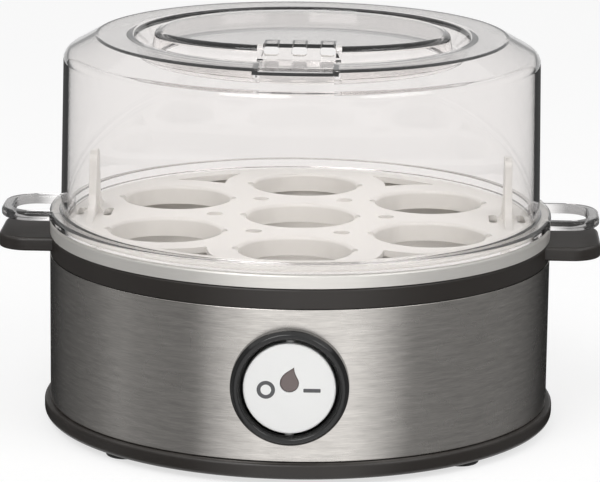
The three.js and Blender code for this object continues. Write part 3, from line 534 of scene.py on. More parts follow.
@dataclass(frozen=True)
class WovenSleeve(Finish):
    """Woven glass sleeve over an inner lead."""

    pitch: float = 0.0007
    crossing: float = 80.0
    relief: float = 0.4
    depth: float = 0.0002
    hollow_tone: float = 0.7

    def surface(self, draft: Draft) -> bpy.types.NodeSocket:
        """Crosses two sets of threads.

        Args:
            draft: The draft to work on.

        Returns:
            The colour.
        """
        plan, scale = draft.plan, 1 / self.pitch / 6
        turned = plan.node("ShaderNodeMapping", None, Vector=draft.place,
                           Rotation=(0.0, 0.0, math.radians(self.crossing)))
        threads = [plan.node("ShaderNodeTexWave", {"bands_direction": "DIAGONAL"}, Vector=place, Scale=scale)
                   for place in (draft.place, turned)]
        weave = plan.math("MAXIMUM", *[thread.outputs[1] for thread in threads])
        draft.bump(weave, self.relief, self.depth)
        return self.toned(plan, plan.remap(weave, 0.0, 1.0, self.hollow_tone, 1.0))


@dataclass(frozen=True)
class ClearMoulding(Finish):
    """Clear polished plastic that lets the lamps through, with painted shade on the lid's loops where they
    reach out over the dark lugs.
    """

    ior: float = 1.49
    transmission: float = 1.0
    shade: float = 0.97
    # Painted shade on the loops: the tone at their ends, and the radii in metres between which it darkens.
    loop_painted_shade: float = 0.42
    loop_shade_span: Point = (0.094, 0.1)
    flow: float = 1200.0
    unevenness: float = 0.04
    relief: float = 0.03
    depth: float = 0.0005

    def surface(self, draft: Draft) -> bpy.types.NodeSocket:
        """Makes the piece clear, with a faint flow of the moulding and painted shade on the loops.

        Args:
            draft: The draft to work on.

        Returns:
            The colour.
        """
        plan = draft.plan
        flow = draft.effect(draft.kit.grain, Scale=self.flow, Unevenness=self.unevenness).outputs["Tone"]
        draft.fix(IOR=self.ior, Transmission_Weight=self.transmission)
        draft.bump(flow, self.relief, self.depth)
        # Painted shade: past the flange the colour darkens towards the loops' ends, where they stand over the
        # dark lugs.
        away = plan.vector("LENGTH", plan.vector("MULTIPLY", draft.place, (1.0, 1.0, 0.0))).outputs["Value"]
        thick = plan.remap(away, *self.loop_shade_span, 1.0, self.loop_painted_shade)
        return self.toned(plan, plan.math("MULTIPLY", flow, thick))

    def output(self, plan: Plan, shader: bpy.types.Node) -> None:
        """Lets shadow rays pass, so that what stands inside is lit.

        Args:
            plan: The material's tree.
            shader: Its shader.
        """
        path = plan.node("ShaderNodeLightPath").outputs
        clear = plan.node("ShaderNodeBsdfTransparent", None, Color=(self.shade, self.shade, self.shade, 1.0))
        plan.node("ShaderNodeOutputMaterial", None, Surface=plan.mix(path["Is Shadow Ray"], shader, clear))


class Paintshop:
    """Makes each finish once and hands it out by slot."""

    FINISHES: dict[Slot, Finish] = {
        Slot.BASE_BLACK: Moulding((0.0245, 0.0205, 0.0178), 0.36, 0.05, 0.25, (0.09, 0.085, 0.08), 0.05,
                                  sheen=0.42),
        Slot.BEZEL_BLACK: Moulding((0.012, 0.012, 0.012), 0.16, 0.03, 0.1, (0.08, 0.08, 0.08), 0.02,
                                   sheen=0.35, relief=0.02, coat=0.15),
        Slot.FOOT_RUBBER: Moulding((0.016, 0.016, 0.016), 0.85, 0.05, dust=0.2, grain=1800.0, relief=0.3),
        Slot.BAND_STEEL: BrushedMetal((0.695, 0.665, 0.63), 0.27, 0.04),
        Slot.DISH_STEEL: BrushedMetal((0.735, 0.715, 0.68), 0.42, 0.05, contrast=0.08, metallic=0.6,
                                      anisotropy=0.3, relief=0.06),
        Slot.GASKET_SILICONE: Moulding((0.45, 0.43, 0.4), 0.6, relief=0.05),
        Slot.CAST_ALUMINIUM: SheetMetal((0.6, 0.6, 0.61), 0.5, relief=0.4),
        Slot.SHIELD_SHEET: SheetMetal((0.65, 0.65, 0.66), 0.35),
        Slot.ELEMENT_SHEATH: SheetMetal((0.22, 0.21, 0.2), 0.5, relief=0.2),
        Slot.PLATED_STEEL: SheetMetal((0.5, 0.51, 0.53), 0.35, wear=0.3, wear_colour=(0.62, 0.6, 0.56)),
        Slot.TINNED_BRASS: SheetMetal((0.66, 0.64, 0.58), 0.3),
        Slot.PALE_MOULDING: Moulding((0.72, 0.68, 0.58), 0.5),
        Slot.LEAD_COVER: WovenSleeve((0.55, 0.5, 0.42), 0.8),
        Slot.BUTTON_WHITE: Moulding((0.82, 0.82, 0.81), 0.3, 0.03, dust=0.03, relief=0.03, unevenness=0.04,
                                    coat=0.2),
        Slot.LENS_SMOKE: Moulding((0.16, 0.12, 0.115), 0.18, 0.03, relief=0.05, grain=900.0, unevenness=0.35,
                                  coat=0.5),
        Slot.LAMP_GLASS: ClearMoulding((0.8, 0.5, 0.3), 0.05, transmission=0.8),
        Slot.TRAY_WHITE: Moulding((0.86, 0.838, 0.805), 0.34, 0.04, dust=0.05, relief=0.05, unevenness=0.05,
                                  coat=0.1),
        Slot.LID_CLEAR: ClearMoulding((0.98, 0.963, 0.955), 0.0, 0.0),
    }
    PRINT = Moulding((0.095, 0.095, 0.1), 0.4, 0.05, relief=0.05, unevenness=0.3)

    def __init__(self) -> None:
        """Builds the shared groups and every finish."""
        kit = ShaderKit()
        self.made = {slot: finish.material(slot.value, kit) for slot, finish in self.FINISHES.items()}
        self.print = self.PRINT.material("symbol_print", kit)

    def dress_frame(self) -> None:
        """Gives every CAD node the finish of its slot in the record."""
        for row in frame["record"]["subparts"]:
            node = frame["nodes"][row["node"]]
            for place in node.material_slots:
                place.material = self.made[Slot(row["material_slot"])]
        LOG.info("dressed %d CAD nodes", len(frame["nodes"]))


# Outlines


def filleted(corners: Sequence[Corner], closed: bool = False, steps: int = 5) -> list[Point]:
    """Rounds the corners of an outline.

    Args:
        corners: Each corner as its two coordinates and its radius.
        closed: True where the last corner joins the first.
        steps: How many lines make a round corner.

    Returns:
        The points of the rounded outline.
    """
    made: list[Point] = []
    count = len(corners)
    for i, (x, y, radius) in enumerate(corners):
        here = Vector((x, y))
        if radius <= 0 or (not closed and i in (0, count - 1)):
            made.append((x, y))
            continue
        before = Vector(corners[i - 1][:2]) - here
        after = Vector(corners[(i + 1) % count][:2]) - here
        half = before.angle(after) / 2
        reach = min(radius / math.tan(half), CORNER_SHARE * before.length, CORNER_SHARE * after.length)
        radius = reach * math.tan(half)
        before, after = before.normalized(), after.normalized()
        centre = here + (before + after).normalized() * (radius / math.sin(half))
        first = here + before * reach - centre
        last = here + after * reach - centre
        start = math.atan2(first.y, first.x)
        sweep = math.remainder(math.atan2(last.y, last.x) - start, 2 * math.pi)
        for k in range(steps + 1):
            angle = start + sweep * k / steps
            made.append((centre.x + radius * math.cos(angle), centre.y + radius * math.sin(angle)))
    return made


def offset(line: Sequence[Point], distance: float) -> list[Point]:
    """Moves every point of an open line to its left, mitred at the corners.

    Args:
        line: The line's points.
        distance: How far it moves.

    Returns:
        The moved points.
    """
    normals = []
    for (x0, y0), (x1, y1) in zip(line, line[1:]):
        step = Vector((x1 - x0, y1 - y0)).normalized()
        normals.append(Vector((-step.y, step.x)))
    made = []
    for i, point in enumerate(line):
        a, b = normals[max(i - 1, 0)], normals[min(i, len(normals) - 1)]
        shift = (a + b) * (distance / (1 + a.dot(b)))
        made.append((point[0] + shift.x, point[1] + shift.y))
    return made


def lug_outline(start: float, reach: float, width: float, corner: float, steps: int = 12) -> list[Point]:
    """The outline of a lug that reaches out along +X with two round corners.

    Args:
        start: Where it starts.
        reach: Where it ends.
        width: Its width.
        corner: The radius of its corners.
        steps: How many lines make a round corner.

    Returns:
        The outline's points.
    """
    half = width / 2
    corners = [(start, -half, 0), (reach, -half, corner), (reach, half, corner), (start, half, 0)]
    return filleted(corners, True, steps)


def rounded_box(width: float, height: float, corner: float, steps: int = 5, x: float = 0.0,
                y: float = 0.0) -> list[Point]:
    """The outline of a rectangle with round corners.

    Args:
        width: Its width.
        height: Its height.
        corner: The radius of its corners.
        steps: How many lines make a round corner.
        x: Its middle's first coordinate.
        y: Its middle's second coordinate.

    Returns:
        The outline's points, counter-clockwise.
    """
    left, right, low, high = x - width / 2, x + width / 2, y - height / 2, y + height / 2
    corners = [(left, low, corner), (right, low, corner), (right, high, corner), (left, high, corner)]
    return filleted(corners, True, steps)


def inset(outline: Sequence[Point], distance: float) -> list[Point]:
    """Shrinks a convex outline.

    Args:
        outline: The points, counter-clockwise.
        distance: How far every side moves in.

    Returns:
        As many points as before.
    """
    count = len(outline)
    made = []
    for i in range(count):
        before, here, after = (Vector(outline[k % count]) for k in (i - 1, i, i + 1))
        a, b = (here - before).normalized(), (after - here).normalized()
        normals = Vector((-a.y, a.x)), Vector((-b.y, b.x))
        shift = (normals[0] + normals[1]) * (distance / (1 + normals[0].dot(normals[1])))
        made.append((here.x + shift.x, here.y + shift.y))
    return made


def rounding(radius: float, steps: int = 4) -> list[Point]:
    """How far in and how far down each step of a quarter round lies, from the wall to the top."""
    angles = [math.pi / 2 * k / steps for k in range(steps + 1)]
    return [(radius * (1 - math.cos(a)), radius * (1 - math.sin(a))) for a in angles]


# Solids


class Form:
    """A closed solid that is being shaped, in millimetres."""

    def __init__(self, mesh: bpy.types.Mesh) -> None:
        """Takes over a mesh."""
        self.mesh = mesh

    @classmethod
    def faces(cls, spots: Sequence[Spot], faces: Sequence[Sequence[int]]) -> Form:
        """Makes a solid from its points and faces, with the faces turned outwards.

        Args:
            spots: The points.
            faces: The faces, as indices of the points.

        Returns:
            The new solid.
        """
        mesh = bpy.data.meshes.new("form")
        mesh.from_pydata([tuple(s) for s in spots], [], [tuple(f) for f in faces])
        shape = bmesh.new()
        shape.from_mesh(mesh)
        bmesh.ops.remove_doubles(shape, verts=shape.verts, dist=DOUBLES)
        bmesh.ops.recalc_face_normals(shape, faces=shape.faces)
        shape.to_mesh(mesh)
        shape.free()
        return cls(mesh)

    @classmethod
    def turned(cls, profile: Sequence[Point], sides: int = 160, axis: Axis = Axis.UP) -> Form:
        """Turns a closed outline of radius and height round an axis.

        Args:
            profile: The outline's points; those at radius zero become poles.
            sides: How many sides the round has.
            axis: The axis it goes round; with Axis.DEPTH the height is Y.

        Returns:
            The turned solid.
        """
        spots: list[Spot] = []
        rings: list[list[int]] = []
        for radius, height in profile:
            if radius < DOUBLES:
                rings.append([len(spots)] * sides)
                spots.append((0.0, 0.0, height))
                continue
            rings.append(list(range(len(spots), len(spots) + sides)))
            for k in range(sides):
                angle = 2 * math.pi * k / sides
                spots.append((radius * math.cos(angle), radius * math.sin(angle), height))
        faces = []
        for a, b in zip(rings, rings[1:] + rings[:1]):
            for k in range(sides):
                n = (k + 1) % sides
                face = list(dict.fromkeys((a[k], a[n], b[n], b[k])))
                if len(face) > 2:
                    faces.append(face)
        form = cls.faces(spots, faces)
        return form.turn("X", -90) if axis is Axis.DEPTH else form

    @classmethod
    def stacked(cls, rings: Sequence[Sequence[Spot]]) -> Form:
        """Makes a solid of a stack of rings, with a cap at each end.

        Args:
            rings: The rings, with the same number of points each.

        Returns:
            The solid.
        """
        count = len(rings[0])
        spots = [spot for ring in rings for spot in ring]
        faces: list[Sequence[int]] = [list(range(count))[::-1], range(len(spots) - count, len(spots))]
        for level in range(len(rings) - 1):
            low, high = level * count, (level + 1) * count
            faces += [(low + k, low + (k + 1) % count, high + (k + 1) % count, high + k)
                      for k in range(count)]
        return cls.faces(spots, faces)

    @classmethod
    def prism(cls, outline: Sequence[Point], low: float, high: float, soft_low: float = 0.0,
              soft_high: float = 0.0) -> Form:
        """Gives an outline height along Z, with round edges where asked.

        Args:
            outline: The points, counter-clockwise, convex where an edge is rounded.
            low: The lower face.
            high: The upper face.
            soft_low: The radius of the lower edge.
            soft_high: The radius of the upper edge.

        Returns:
            The solid.
        """
        levels = [(d, low + h) for d, h in reversed(rounding(soft_low))] if soft_low else [(0.0, low)]
        levels += [(d, high - h) for d, h in rounding(soft_high)] if soft_high else [(0.0, high)]
        return cls.stacked([[(x, y, z) for x, y in (inset(outline, d) if d else outline)] for d, z in levels])

    @classmethod
    def across(cls, outline: Sequence[Point], width: float) -> Form:
        """A plate across X, centred, from an outline in Y and Z."""
        return cls.stacked([[(x, y, z) for y, z in outline] for x in (-width / 2, width / 2)])

    @classmethod
    def along(cls, outline: Sequence[Point], front: float, back: float) -> Form:
        """A solid along Y from an outline in X and Z."""
        return cls.stacked([[(x, y, z) for x, z in outline] for y in (front, back)])

    @classmethod
    def post(cls, radius: float, low: float, high: float, x: float = 0.0, y: float = 0.0,
             sides: int = 32) -> Form:
        """An upright round post or cutter."""
        return cls.turned([(0, low), (radius, low), (radius, high), (0, high)], sides).move(x, y, 0)

    @classmethod
    def bar(cls, radius: float, front: float, back: float, z: float, sides: int = 96) -> Form:
        """A round bar or cutter along Y."""
        outline = [(0, front), (radius, front), (radius, back), (0, back)]
        return cls.turned(outline, sides, Axis.DEPTH).move(0, 0, z)

    @classmethod
    def profile(cls, outline: Sequence[Point], closed: bool = True) -> Form:
        """A bare line in the XY plane, for a geometry tree to work on.

        Args:
            outline: The line's points.
            closed: True where the last point joins the first.

        Returns:
            The line.
        """
        mesh = bpy.data.meshes.new("line")
        count = len(outline)
        edges = [(i, (i + 1) % count) for i in range(count if closed else count - 1)]
        mesh.from_pydata([(x, y, 0.0) for x, y in outline], edges, [])
        return cls(mesh)

    def move(self, x: float, y: float, z: float) -> Form:
        """Moves the solid."""
        self.mesh.transform(Matrix.Translation((x, y, z)))
        return self

    def turn(self, axis: str, degrees: float) -> Form:
        """Turns the solid about an axis through the origin."""
        self.mesh.transform(Matrix.Rotation(math.radians(degrees), 4, axis))
        return self

    def copy(self) -> Form:
        """A second solid of the same shape."""
        return Form(self.mesh.copy())

    def opposite(self) -> Form:
        """A copy of the solid on the other side of the body."""
        return self.copy().turn("Z", 180)

    def closed(self) -> Form:
        """The same faces with their doubles merged, turned outwards."""
        return Form.faces([v.co for v in self.mesh.vertices], [p.vertices for p in self.mesh.polygons])

    def _evaluated(self, name: str, kind: str, settings: dict[str, Any]) -> Form:
        """Applies one modifier.

        Args:
            name: The modifier's name.
            kind: Blender's modifier type.
            settings: Its properties, and a geometry tree's inputs by identifier.

        Returns:
            The result as a new solid.
        """
        holder = placed("holder", self.mesh)
        modifier = holder.modifiers.new(name, kind)
        for key, value in settings.items():
            if key.startswith("Socket_"):
                modifier[key] = value
            else:
                setattr(modifier, key, value)
        graph = bpy.context.evaluated_depsgraph_get()
        made = bpy.data.meshes.new_from_object(holder.evaluated_get(graph))
        bpy.data.objects.remove(holder)
        return Form(made)

    def join(self, other: Form, how: Join) -> Form:
        """Joins, cuts or meets this solid with another.

        Args:
            other: The second solid.
            how: What it does to this one.

        Returns:
            The new solid.
        """
        tool = placed("tool", other.mesh)
        settings = {"object": tool, "operation": how.value, "solver": "MANIFOLD"}
        made = self._evaluated("join", "BOOLEAN", settings)
        bpy.data.objects.remove(tool)
        return made

    def add(self, *others: Form) -> Form:
        """Adds other solids to this one.

        Args:
            *others: The solids to add.

        Returns:
            The new solid.
        """
        made = self
        for other in others:
            made = made.join(other, Join.ADD)
        return made

    def cut(self, *others: Form) -> Form:
        """Cuts other solids out of this one.

        Args:
            *others: The solids to cut out.

        Returns:
            The new solid.
        """
        made = self
        for other in others:
            made = made.join(other, Join.CUT)
        return made

    def grow(self, tree: GeometryTree, **values: Any) -> Form:
        """Runs a geometry tree on this form.

        Args:
            tree: The tree.
            **values: The tree's named inputs, with spaces as underscores.

        Returns:
            The tree's result.
        """
        settings: dict[str, Any] = {"node_group": tree.plan.tree}
        settings |= {tree.inputs[name.replace("_", " ")]: value for name, value in values.items()}
        return self._evaluated("tree", "NODES", settings)

    def eased(self, width: float, segments: int = 2, angle: float = 35.0) -> Form:
        """Rounds the sharp edges with a bevel.

        Args:
            width: The bevel's width.
            segments: How many faces it has.
            angle: The angle in degrees past which an edge is sharp.

        Returns:
            The new solid.
        """
        return self._evaluated("ease", "BEVEL", {
            "width": width, "segments": segments, "limit_method": "ANGLE", "angle_limit": math.radians(angle),
            "harden_normals": False, "miter_outer": "MITER_ARC", "use_clamp_overlap": True,
        })

    def finish(self, name: str, body: Body, material: bpy.types.Material, slot: Slot | None = None,
               replaces: Sequence[str] = (), sharp: float = 32.0) -> None:
        """Makes the solid a finished piece that rides on a body.

        Args:
            name: The piece's name.
            body: The CAD body it rides on.
            material: Its finish.
            slot: The record's slot of that finish; not used.
            replaces: The CAD nodes that it stands for.
            sharp: The angle in degrees past which an edge stays sharp.
        """
        shape = bmesh.new()
        shape.from_mesh(self.mesh)
        bmesh.ops.remove_doubles(shape, verts=shape.verts, dist=WELD)
        bmesh.ops.dissolve_degenerate(shape, edges=shape.edges, dist=WELD)
        mesh = bpy.data.meshes.new(name)
        shape.to_mesh(mesh)
        shape.free()
        mesh.transform(Matrix.Scale(METRE, 4))
        mesh.shade_smooth()
        mesh.set_sharp_from_angle(angle=math.radians(sharp))
        shaded = Form(mesh)._evaluated("shade", "WEIGHTED_NORMAL", {"mode": "FACE_AREA", "keep_sharp": True})
        bpy.data.meshes.remove(mesh)
        mesh = shaded.mesh
        mesh.name = name
        mesh.materials.clear()
        mesh.materials.append(material)
        for face in mesh.polygons:
            face.material_index = 0
        piece = placed(name, mesh)
        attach(piece, body.value)
        if replaces:
            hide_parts(*replaces)
            self._compare(piece, replaces)
        LOG.info("%s: %d faces, on %s", name, len(mesh.polygons), body.value)

    @staticmethod
    def _compare(piece: bpy.types.Object, nodes: Sequence[str]) -> None:
        """Reports a piece that isn't where the nodes it stands for are.

        Args:
            piece: The piece.
            nodes: The CAD nodes it stands for.
        """
        corners = [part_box(node) for node in nodes]
        spots = [v.co for v in piece.data.vertices]
        for i in range(3):
            low = min(c[0][i] for c in corners) - min(s[i] for s in spots)
            high = max(c[1][i] for c in corners) - max(s[i] for s in spots)
            if max(abs(low), abs(high)) > METRE:
                LOG.warning("%s is off its nodes by %.4f and %.4f along axis %d", piece.name, low, high, i)


# Geometry trees


class GeometryTree:
    """A geometry tree with named inputs, which ends in Realize Instances and Set Material."""

    def __init__(self, name: str, inputs: dict[str, tuple[str, Any]]) -> None:
        """Starts the tree with its named inputs.

        Args:
            name: The tree's name.
            inputs: Each input's name, with its socket type and value.
        """
        self.plan = Plan.group(name, "GeometryNodeTree")
        self.plan.socket("Geometry", "Geometry")
        self.plan.socket("Geometry", "Geometry", out=True)
        self.inputs = {label: self.plan.socket(label, kind, value) for label, (kind, value) in inputs.items()}
        self.start = self.plan.node("NodeGroupInput").outputs

    def end(self, geometry: Any) -> None:
        """Closes the tree."""
        real = self.plan.node("GeometryNodeRealizeInstances", None, Geometry=geometry)
        dressed = self.plan.node("GeometryNodeSetMaterial", None, Geometry=real)
        self.plan.feed(self.plan.node("NodeGroupOutput").inputs[0], dressed)


class TurnedBodyTree(GeometryTree):
    """Sweeps a closed profile round the body's axis."""

    def __init__(self) -> None:
        """Builds the tree."""
        super().__init__("turned_body", {"Path Radius": ("Float", 90.0), "Sides": ("Int", 192)})
        path = self.plan.node("GeometryNodeCurvePrimitiveCircle", None, Resolution=self.start["Sides"],
                              Radius=self.start["Path Radius"])
        line = self.plan.node("GeometryNodeMeshToCurve", None, in0=self.start["Geometry"])
        self.end(self.plan.node("GeometryNodeCurveToMesh", None, Curve=path, Profile_Curve=line))

    def turned(self, outline: Sequence[Point], path_radius: float, sides: int) -> Form:
        """Sweeps a closed outline of radius and height round the axis, on a path of that radius."""
        line = Form.profile([(r - path_radius, -z) for r, z in outline])
        return line.grow(self, Path_Radius=path_radius, Sides=sides).closed()


class RingTree(GeometryTree):
    """Sets copies of a piece on a ring round the body's axis."""

    def __init__(self) -> None:
        """Builds the tree."""
        super().__init__("ring_of_pieces", {
            "Count": ("Int", 4), "Ring Radius": ("Float", 80.0), "First Angle": ("Float", 0.0),
            "Turn Share": ("Float", 1.0),
        })
        plan, start = self.plan, self.start
        dots = plan.node("GeometryNodePoints", None, Count=start["Count"])
        number = plan.node("GeometryNodeInputIndex")
        step = plan.math("DIVIDE", 2 * math.pi, start["Count"])
        angle = plan.math("ADD", plan.math("MULTIPLY", number, step), start["First Angle"])
        spot = plan.node("ShaderNodeCombineXYZ", None,
                         in0=plan.math("MULTIPLY", plan.math("COSINE", angle), start["Ring Radius"]),
                         in1=plan.math("MULTIPLY", plan.math("SINE", angle), start["Ring Radius"]))
        ring = plan.node("GeometryNodeSetPosition", None, Geometry=dots, Position=spot)
        turn = plan.node("ShaderNodeCombineXYZ", None, in2=plan.math("MULTIPLY", angle, start["Turn Share"]))
        self.end(plan.node("GeometryNodeInstanceOnPoints", None, Points=ring, Instance=start["Geometry"],
                           Rotation=turn))

    def ring(self, piece: Form, count: int, radius: float, first: float, level: bool = False) -> Form:
        """Repeats a piece on a ring from an angle in degrees, turned with its place unless level."""
        return piece.grow(self, Count=count, Ring_Radius=radius, First_Angle=math.radians(first),
                          Turn_Share=0.0 if level else 1.0)


class RowTree(GeometryTree):
    """Sets copies of a piece in a straight row, centred on the origin."""

    def __init__(self) -> None:
        """Builds the tree."""
        super().__init__("row_of_pieces", {"Count": ("Int", 5), "Pitch": ("Vector", (8.0, 0.0, 0.0))})
        plan, start = self.plan, self.start
        dots = plan.node("GeometryNodePoints", None, Count=start["Count"])
        middle = plan.math("DIVIDE", plan.math("SUBTRACT", start["Count"], 1.0), 2.0)
        place = plan.math("SUBTRACT", plan.node("GeometryNodeInputIndex"), middle)
        spot = plan.node("ShaderNodeVectorMath", {"operation": "SCALE"}, in0=start["Pitch"], Scale=place)
        row = plan.node("GeometryNodeSetPosition", None, Geometry=dots, Position=spot)
        self.end(plan.node("GeometryNodeInstanceOnPoints", None, Points=row, Instance=start["Geometry"]))

    def row(self, piece: Form, count: int, pitch: Spot) -> Form:
        """Repeats a piece in a row."""
        return piece.grow(self, Count=count, Pitch=pitch)


class RailTree(GeometryTree):
    """Sweeps a soft-edged bar along a bent line."""

    def __init__(self) -> None:
        """Builds the tree."""
        super().__init__("bent_rail", {
            "Bend": ("Float", 9.0), "Bend Steps": ("Int", 14), "Width": ("Float", 4.6),
            "Height": ("Float", 3.4), "Edge": ("Float", 1.0), "Edge Steps": ("Int", 4),
        })
        plan, start = self.plan, self.start
        line = plan.node("GeometryNodeMeshToCurve", None, in0=start["Geometry"])
        level = plan.node("GeometryNodeSetCurveNormal", {"mode": "Z_UP"}, Curve=line)
        bent = plan.node("GeometryNodeFilletCurve", {"mode": "POLY"}, Curve=level, Count=start["Bend Steps"],
                         Radius=start["Bend"])
        box = plan.node("GeometryNodeCurvePrimitiveQuadrilateral", None, Width=start["Width"],
                        Height=start["Height"])
        soft = plan.node("GeometryNodeFilletCurve", {"mode": "POLY"}, Curve=box, Count=start["Edge Steps"],
                         Radius=start["Edge"])
        self.end(plan.node("GeometryNodeCurveToMesh", None, Curve=bent, Profile_Curve=soft, Fill_Caps=True))

    def rail(self, line: Sequence[Point], bend: float, width: float, height: float, edge: float) -> Form:
        """Sweeps a bar of that width, height and edge along an open line with round bends."""
        bar = Form.profile(line, closed=False)
        return bar.grow(self, Bend=bend, Width=width, Height=height, Edge=edge).closed()


@dataclass
class Workshop:
    """What the sub-assemblies share: the finishes and the geometry trees."""

    paint: Paintshop = field(default_factory=Paintshop)
    lathe: TurnedBodyTree = field(default_factory=TurnedBodyTree)
    rings: RingTree = field(default_factory=RingTree)
    rows: RowTree = field(default_factory=RowTree)
    rails: RailTree = field(default_factory=RailTree)

    def finish(self, form: Form, name: str, body: Body, slot: Slot, replaces: Sequence[str] = (),
               sharp: float = 32.0) -> None:
        """Finishes a solid in the finish of a slot."""
        form.finish(name, body, self.paint.made[slot], slot, replaces, sharp)


# Sub-assemblies


@dataclass
class Assembly:
    """A sub-assembly that is built with the shared finishes and trees."""

    shop: Workshop


@dataclass
class BasePan(Assembly):
    """The black pan under the steel band, with its vents, screws and feet.

    The outlines hold each corner as its radius, its height and its rounding.
    """

    FOOT_DIMPLE: ClassVar[Sequence[Corner]] = ((0, 0.5, 0), (3.6, 0.5, 0.3), (4.1, 0, 0.3))
    SCREW: ClassVar[Sequence[Corner]] = (
        (0, 2.1, 0), (2.4, 2.15, 1.0), (3.4, 3.2, 0.5), (3.4, 4.3, 0.2), (1.7, 4.3, 0.1), (1.7, 16, 0.3),
        (0.4, 17.3, 0), (0, 17.3, 0),
    )

    bottom: float = 2.0
    floor_top: float = 4.6
    ledge_radius: float = 94.7
    ledge_top: float = 8.0
    lip_outer: float = 91.7
    lip_inner: float = 89.9
    lip_top: float = 11.5
    vent_length: float = 34.0
    vent_width: float = 2.6
    vent_pitch: float = 8.0
    vent_count: int = 5
    post_ring: float = 84.0
    post_angle: float = 30.0
    boss_radius: float = 5.8
    boss_top: float = 9.2
    screw_bore: float = 1.9
    screw_head_bore: float = 3.6
    screw_seat: float = 4.4
    screw_sides: int = 32
    clamp_place: float = 70.0
    clamp_pitch: float = 20.0
    clamp_boss_radius: float = 3.6
    clamp_boss_top: float = 13.6
    clamp_bore: float = 1.6
    cross_length: float = 3.4
    cross_width: float = 0.8
    cross_round: float = 0.3
    cross_depth: float = 3.4
    foot_count: int = 4
    foot_ring: float = 84.7
    foot_angle: float = 45.0
    foot_radius: float = 7.0
    foot_top: float = 3.2
    foot_gap: float = 0.2
    foot_sides: int = 48

    def post_spots(self) -> list[Point]:
        """Where the four posts stand."""
        first = self.post_angle
        angles = [math.radians(a) for a in (first, 180 - first, 180 + first, -first)]
        return [(self.post_ring * math.cos(a), self.post_ring * math.sin(a)) for a in angles]

    def pan(self) -> None:
        """Builds the pan."""
        form = Form.turned(filleted([
            (0, self.bottom, 0), (self.ledge_radius, self.bottom, 2.2),
            (self.ledge_radius, self.ledge_top, 1.5), (self.lip_outer, self.ledge_top, 0.3),
            (self.lip_outer, self.lip_top, 0.4), (self.lip_inner, self.lip_top, 0.4),
            (self.lip_inner, self.floor_top, 1.2), (0, self.floor_top, 0),
        ]))
        middle = (self.bottom + self.floor_top) / 2
        for x, y in self.post_spots():
            form = form.add(Form.post(self.boss_radius, middle, self.boss_top, x, y))
            form = form.cut(Form.post(self.screw_bore, -CLEAR, self.boss_top + CLEAR, x, y),
                            Form.post(self.screw_head_bore, -CLEAR, self.screw_seat, x, y))
        top = self.clamp_boss_top
        for x in (-self.clamp_pitch / 2, self.clamp_pitch / 2):
            form = form.add(Form.post(self.clamp_boss_radius, middle, top, x, self.clamp_place))
            form = form.cut(Form.post(self.clamp_bore, self.floor_top, top + CLEAR, x, self.clamp_place))
        gap = self.foot_gap
        recess = Form.post(self.foot_radius + gap, -CLEAR, self.foot_top + gap, sides=self.foot_sides)
        form = form.cut(self.shop.rings.ring(recess, self.foot_count, self.foot_ring, self.foot_angle))
        slot = rounded_box(self.vent_width, self.vent_length, self.vent_width / 2, 6)
        vent = Form.prism(slot, -CLEAR, self.floor_top + CLEAR)
        form = form.cut(self.shop.rows.row(vent, self.vent_count, (self.vent_pitch, 0, 0)))
        self.shop.finish(form, "base_pan_fine", Body.ROOT, Slot.BASE_BLACK, ["base_pan"])

    def feet(self) -> None:
        """Builds the four rubber feet."""
        pad = Form.turned(filleted([
            *self.FOOT_DIMPLE, (self.foot_radius, 0, 1.0), (self.foot_radius, self.foot_top, 0.3),
            (0, self.foot_top, 0),
        ]), self.foot_sides)
        form = self.shop.rings.ring(pad, self.foot_count, self.foot_ring, self.foot_angle)
        names = [f"foot_pad_{i}" for i in range(1, 5)]
        self.shop.finish(form, "rubber_feet", Body.ROOT, Slot.FOOT_RUBBER, names)

    def screws(self) -> None:
        """Builds the four base screws with their cross recesses."""
        screw = Form.turned(filleted(self.SCREW), self.screw_sides)
        cross = rounded_box(self.cross_length, self.cross_width, self.cross_round)
        arm = Form.prism(cross, CLEAR, self.cross_depth)
        for angle in (0, 90):
            screw = screw.cut(arm.copy().turn("Z", angle))
        ring = self.shop.rings
        pairs = [ring.ring(screw, 2, self.post_ring, first) for first in (self.post_angle, -self.post_angle)]
        names = [f"base_screw_{i}" for i in range(1, 5)]
        self.shop.finish(pairs[0].add(pairs[1]), "base_screws", Body.ROOT, Slot.PLATED_STEEL, names)

    def build(self) -> None:
        """Builds the pan, its feet and its screws."""
        self.pan()
        self.feet()
        self.screws()


@dataclass
class SteelSleeve(Assembly):
    """The brushed steel band with the button's hole in front and the gland's behind."""

    radius: float = 92.5
    wall: float = 0.6
    bottom: float = 8.2
    top: float = 62.9
    edge: float = 0.25
    button_height: float = 35.55
    button_hole: float = 19.1
    gland_height: float = 20.0
    gland_hole: float = 6.4
    gland_sides: int = 48
    holes_from: float = 80.0
    holes_to: float = 105.0
    path_radius: float = 90.0
    sides: int = 240

    def build(self) -> None:
        """Builds the band."""
        inner = self.radius - self.wall
        form = self.shop.lathe.turned(filleted([
            (inner, self.bottom, self.edge), (self.radius, self.bottom, self.edge),
            (self.radius, self.top, self.edge), (inner, self.top, self.edge),
        ], True, 3), self.path_radius, self.sides)
        form = form.cut(
            Form.bar(self.button_hole, -self.holes_to, -self.holes_from, self.button_height),
            Form.bar(self.gland_hole, self.holes_from, self.holes_to, self.gland_height, self.gland_sides),
        )
        self.shop.finish(form, "steel_band_fine", Body.ROOT, Slot.BAND_STEEL, ["steel_band"])


